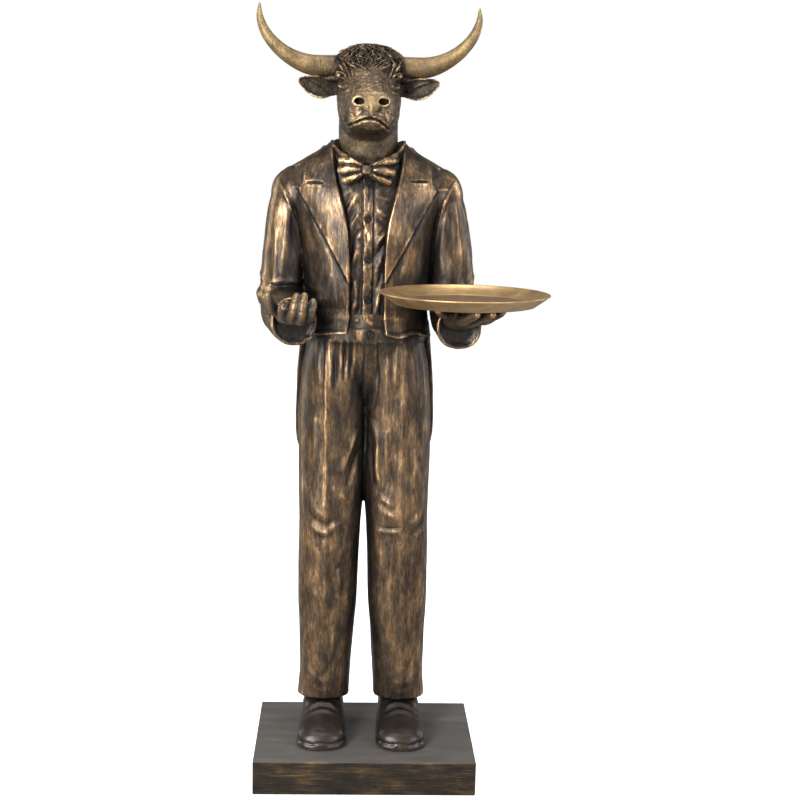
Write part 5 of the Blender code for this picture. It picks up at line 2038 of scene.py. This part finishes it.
@dataclass
class Figure:
    """The whole casting of the waiter, in one piece."""

    trousers: Trousers = Trousers()
    shoes: Shoes = Shoes()
    shirt: Shirt = Shirt()
    tie: BowTie = BowTie()
    coat: Tailcoat = Tailcoat()
    sleeves: Sleeves = Sleeves()
    hands: Hands = Hands()
    head: Head = Head()
    forelock: Forelock = Forelock()

    def lumps(self) -> list[Lump]:
        """The forms in groups of one grain and one finish."""
        drape = [Ripple((9, 9, 70), 0.45, 11), Ripple((5, 5, 26), 0.22, 12), Ripple((2.6, 2.6, 5), 0.08, 13)]
        return [
            Lump(
                "trousers", Region.CLOTH, 1.15, 30000, self.trousers.forms(), self.trousers.strokes(),
                drape + [Ripple((7, 7, 22), 0.30, 14)],
            ),
            Lump(
                "coat", Region.CLOTH, 1.1, 48000, self.coat.forms() + self.sleeves.forms(),
                self.coat.strokes() + self.sleeves.strokes(), drape,
            ),
            Lump(
                "shirt", Region.SHIRT, 0.85, 19000, self.shirt.forms(), self.shirt.strokes(),
                [Ripple((5, 9, 9), 0.95, 21, 0.5), Ripple((2.6, 4, 4), 0.42, 22, -0.4)],
            ),
            Lump(
                "tie", Region.SHIRT, 0.55, 6000, self.tie.forms(), self.tie.strokes(),
                [Ripple((4, 4, 4), 0.35, 23), Ripple((1.8, 1.8, 1.8), 0.12, 24)],
            ),
            Lump("buttons", Region.SHIRT, 0, 0, self.shirt.fastenings()),
            Lump("coat buttons", Region.CLOTH, 0, 0, self.sleeves.fastenings() + self.coat.waist_buttons()),
            Lump(
                "hands", Region.HAND, 0.8, 12000, self.hands.forms(), self.hands.strokes(),
                [Ripple((3, 3, 3), 0.10, 31)], self.hands.gilt,
            ),
            Lump(
                "horns", Region.HIDE, 0.7, 8000, self.head.horns(),
                gilt=self.head.gilt, carve=self.head.carve,
            ),
            Lump(
                "shoes", Region.SHOE, 1.0, 7000, self.shoes.forms(), self.shoes.strokes(),
                [Ripple((6, 6, 5), 0.18, 32)],
            ),
        ]

    def head_lump(self) -> Object:
        """The head, carved between its fusing and its surface work."""
        head = self.head
        lump = Lump(
            "head", Region.HIDE, 0.75, 30000, head.forms(), head.strokes(),
            [Ripple((5, 5, 5), 0.28, 33), Ripple((1.9, 1.9, 1.9), 0.20, 34)], head.gilt, head.carve,
        ).build()
        hair = self.forelock.covers(read_vectors(lump.data.polygons, "center"))
        set_regions(lump.data, np.where(hair, Region.HAIR.value, Region.HIDE.value))
        return lump

    def build(self) -> Object:
        """Makes the figure's one piece, in metres."""
        parts = [lump.build() for lump in self.lumps()] + [self.head_lump(), self.forelock.build()]
        coats = finishes()
        for part in parts:
            for material in coats:
                part.data.materials.append(material)
        bpy.ops.object.select_all(action="DESELECT")
        for part in parts:
            part.select_set(True)
        bpy.context.view_layer.objects.active = parts[0]
        bpy.ops.object.join()
        figure = parts[0]
        figure.name = figure.data.name = "waiter_casting"
        mesh = figure.data
        points = read_vectors(mesh.vertices, "co")
        normals = read_vectors(mesh.vertex_normals, "vector")
        edges = read_edges(mesh)
        # How much of the sky each point sees; the finishes use it to paint shade into the closed places
        write_values(mesh, "sky", spread(openness(points, normals), edges, 3)[:, 0])
        points[:, 2] = np.maximum(points[:, 2], 0.0)
        points[:, 0] -= FIGURE_LEAN * points[:, 2]
        low, high = (np.array(corner) for corner in CAD_BOX)
        move_points(mesh, np.clip(points * UNIT + (FIGURE_OFFSET, 0, SOLE_HEIGHT), low, high))
        mesh.shade_smooth()
        return figure

    def dress(self, figure: Object) -> None:
        """Gives the casting its place in the model.

        Args:
            figure: The casting.
        """
        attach(figure, "root")
        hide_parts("figure")


@dataclass(frozen=True)
class Plinth:
    """The block under the figure."""

    node_name: str = "plinth"

    def dress(self) -> None:
        """Gives the block its finish."""
        block = bpy.data.objects[self.node_name]
        block.data.materials.clear()
        block.data.materials.append(PlinthFinish().material())


@dataclass(frozen=True)
class Tray:
    """A round tray with a flared wall and a rolled lip, turned finer than its solid."""

    radius: float = 0.076
    depth: float = 0.0108
    flare: float = 0.0138
    wall: float = 0.0016
    lip: float = 0.0013

    def profile(self) -> list[tuple]:
        """The tray's section, from the middle of its floor over the lip to the middle of its foot."""
        foot, rim = self.radius - self.flare, self.radius - self.wall - self.lip
        floor, edge = foot - self.wall, self.wall + 0.0007
        made = [(0.0, self.wall), (foot * 0.5, self.wall), (floor - 0.0016, self.wall)]
        made += [(floor - 0.0006, self.wall + 0.0002), (floor, edge)]
        for share in (0.25, 0.5, 0.75):
            rise = share * (self.depth - self.lip - edge) - 0.0004 * math.sin(math.pi * share)
            made.append((floor + share * (rim - floor), edge + rise))
        made += [(rim, self.depth - self.lip), (rim + 0.0008, self.depth - 0.0004)]
        made += [(self.radius - self.lip, self.depth), (self.radius - 0.0005, self.depth - 0.0002)]
        made += [(self.radius, self.depth - 0.0007), (self.radius - 0.0002, self.depth - 0.0012)]
        made += [(self.radius - 0.0009, self.depth - self.wall), (foot + 0.0006, 0.0003)]
        return made + [(foot - 0.0006, 0.0), (0.0, 0.0)]

    def build(self) -> Object:
        """Turns the tray's profile."""
        low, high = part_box("tray")
        centre = ((low[0] + high[0]) / 2, (low[1] + high[1]) / 2, low[2])
        turned = bmesh.new()
        previous = None
        for x, z in self.profile():
            vert = turned.verts.new((x, 0, z))
            if previous:
                turned.edges.new((previous, vert))
            previous = vert
        bmesh.ops.spin(
            turned, geom=turned.verts[:] + turned.edges[:], axis=(0, 0, 1), cent=(0, 0, 0),
            steps=144, angle=2 * math.pi, use_merge=True,
        )
        bmesh.ops.remove_doubles(turned, verts=turned.verts, dist=1e-6)
        bmesh.ops.recalc_face_normals(turned, faces=turned.faces)
        bmesh.ops.translate(turned, verts=turned.verts, vec=centre)
        mesh = bpy.data.meshes.new("gilt_tray")
        turned.to_mesh(mesh)
        turned.free()
        mesh.shade_smooth()
        dish = placed("gilt_tray", mesh)
        floor = self.radius - self.flare - self.wall
        mesh.materials.append(TrayFinish(centre, floor - 0.0004).material())
        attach(dish, "root")
        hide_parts("tray")
        return dish


@dataclass(frozen=True)
class Studio:
    """The camera, the floor and soft daylight from the front left."""

    place: tuple = (-0.0229, -1.3411, 0.6200)
    heading: float = 2.21
    pitch: float = 10.29
    roll: float = 1.34
    lens: float = 63.0

    def camera(self) -> None:
        """Puts the camera where the photograph was taken from."""
        heading, pitch, roll = (math.radians(a) for a in (self.heading, self.pitch, self.roll))
        level = math.cos(pitch)
        ahead = Vector((math.sin(heading) * level, math.cos(heading) * level, -math.sin(pitch)))
        right = Vector((math.cos(heading), -math.sin(heading), 0))
        up = right.cross(ahead)
        turned_right = right * math.cos(roll) + up * math.sin(roll)
        turned_up = up * math.cos(roll) - right * math.sin(roll)
        data = bpy.data.cameras.new("camera")
        data.lens = self.lens
        data.sensor_width = 36.0
        data.clip_start = 0.05
        camera = placed("camera", data)
        basis = Matrix((turned_right, turned_up, -ahead)).transposed().to_4x4()
        camera.matrix_world = Matrix.Translation(self.place) @ basis
        bpy.context.scene.camera = camera

    def lamp(self, name: str, place: tuple, aim: tuple, size: tuple, watts: float, colour: str) -> None:
        """A rectangular soft light.

        Args:
            name: Its name.
            place: Where it stands.
            aim: What it faces.
            size: Its width and height.
            watts: Its power.
            colour: Its sRGB hex colour.
        """
        data = bpy.data.lights.new(name, "AREA")
        data.shape = "RECTANGLE"
        data.size, data.size_y = size
        data.energy = watts
        data.color = linear(colour)[:3]
        lamp = placed(name, data)
        lamp.location = place
        lamp.rotation_euler = (Vector(aim) - Vector(place)).to_track_quat("-Z", "Y").to_euler()

    def lights(self) -> None:
        """A key from the front left, a weaker fill, two strips behind and the room's glow."""
        self.lamp("key", (-0.82, -1.42, 0.86), (0, 0, 0.44), (0.55, 1.3), 41, "#fffdfa")
        self.lamp("fill", (1.35, -1.4, 0.9), (0, 0, 0.38), (0.8, 1.2), 17, "#f6f8ff")
        self.lamp("left strip", (-1.3, 0.55, 0.7), (0, 0, 0.4), (0.4, 1.4), 7, "#ffffff")
        self.lamp("right strip", (1.3, 0.55, 0.7), (0, 0, 0.4), (0.4, 1.4), 6, "#ffffff")
        self.lamp("top", (0, -0.2, 1.9), (0, 0, 0.4), (1.0, 1.0), 14, "#ffffff")
        world = bpy.data.worlds.new("studio")
        world.use_nodes = True
        tree = world.node_tree
        tree.nodes.clear()
        ray = node(tree, "LightPath").outputs["Is Camera Ray"]
        strength = between(tree, ray, (0, 1), (0.18, 1.0))
        back = node(tree, "Background", {"Color": (1, 1, 1, 1), "Strength": strength})
        node(tree, "OutputWorld", {0: back.outputs[0]})
        bpy.context.scene.world = world
        bpy.context.scene.view_settings.view_transform = "Standard"
        bpy.context.scene.view_settings.look = "None"

    def floor(self) -> None:
        """A wide pale floor."""
        mesh = bpy.data.meshes.new("floor")
        turned = bmesh.new()
        bmesh.ops.create_circle(turned, cap_ends=True, segments=96, radius=4.0)
        turned.to_mesh(mesh)
        turned.free()
        floor = placed("floor", mesh)
        floor.location = (0, 0, -0.0004)
        # Matte white, a little grey to the lamps and near white to the camera
        made, tree, shader = new_material("matte white floor")
        place = node(tree, "TexCoord").outputs["Object"]
        grain = noise(tree, place, 0.05, 3.0, 0.5)
        colour = ramp(tree, grain, ((0.0, "#f6f6f5"), (1.0, "#ffffff")))
        ray = node(tree, "LightPath").outputs["Is Camera Ray"]
        feed(tree, shader, {
            "Base Color": mixed(tree, ray, linear("#8e8c8a"), colour),
            "Roughness": 0.9,
            "Specular IOR Level": 0.1,
            "Emission Color": (1, 1, 1, 1),
            "Emission Strength": between(tree, ray, (0, 1), (0.1, 0.92)),
        })
        mesh.materials.append(made)

    def build(self) -> None:
        """Sets up the whole studio."""
        self.camera()
        self.lights()
        self.floor()


def main() -> None:
    """Builds the statue piece by piece."""
    logging.basicConfig(level=logging.INFO, format="%(message)s")
    Studio().build()
    LOG.info("studio set")
    figure = Figure()
    casting = figure.build()
    figure.dress(casting)
    LOG.info("figure: %d triangles", sum(len(face.vertices) - 2 for face in casting.data.polygons))
    Plinth().dress()
    LOG.info("plinth dressed")
    Tray().build()
    LOG.info("tray turned")


if __name__ == "__main__":
    main()
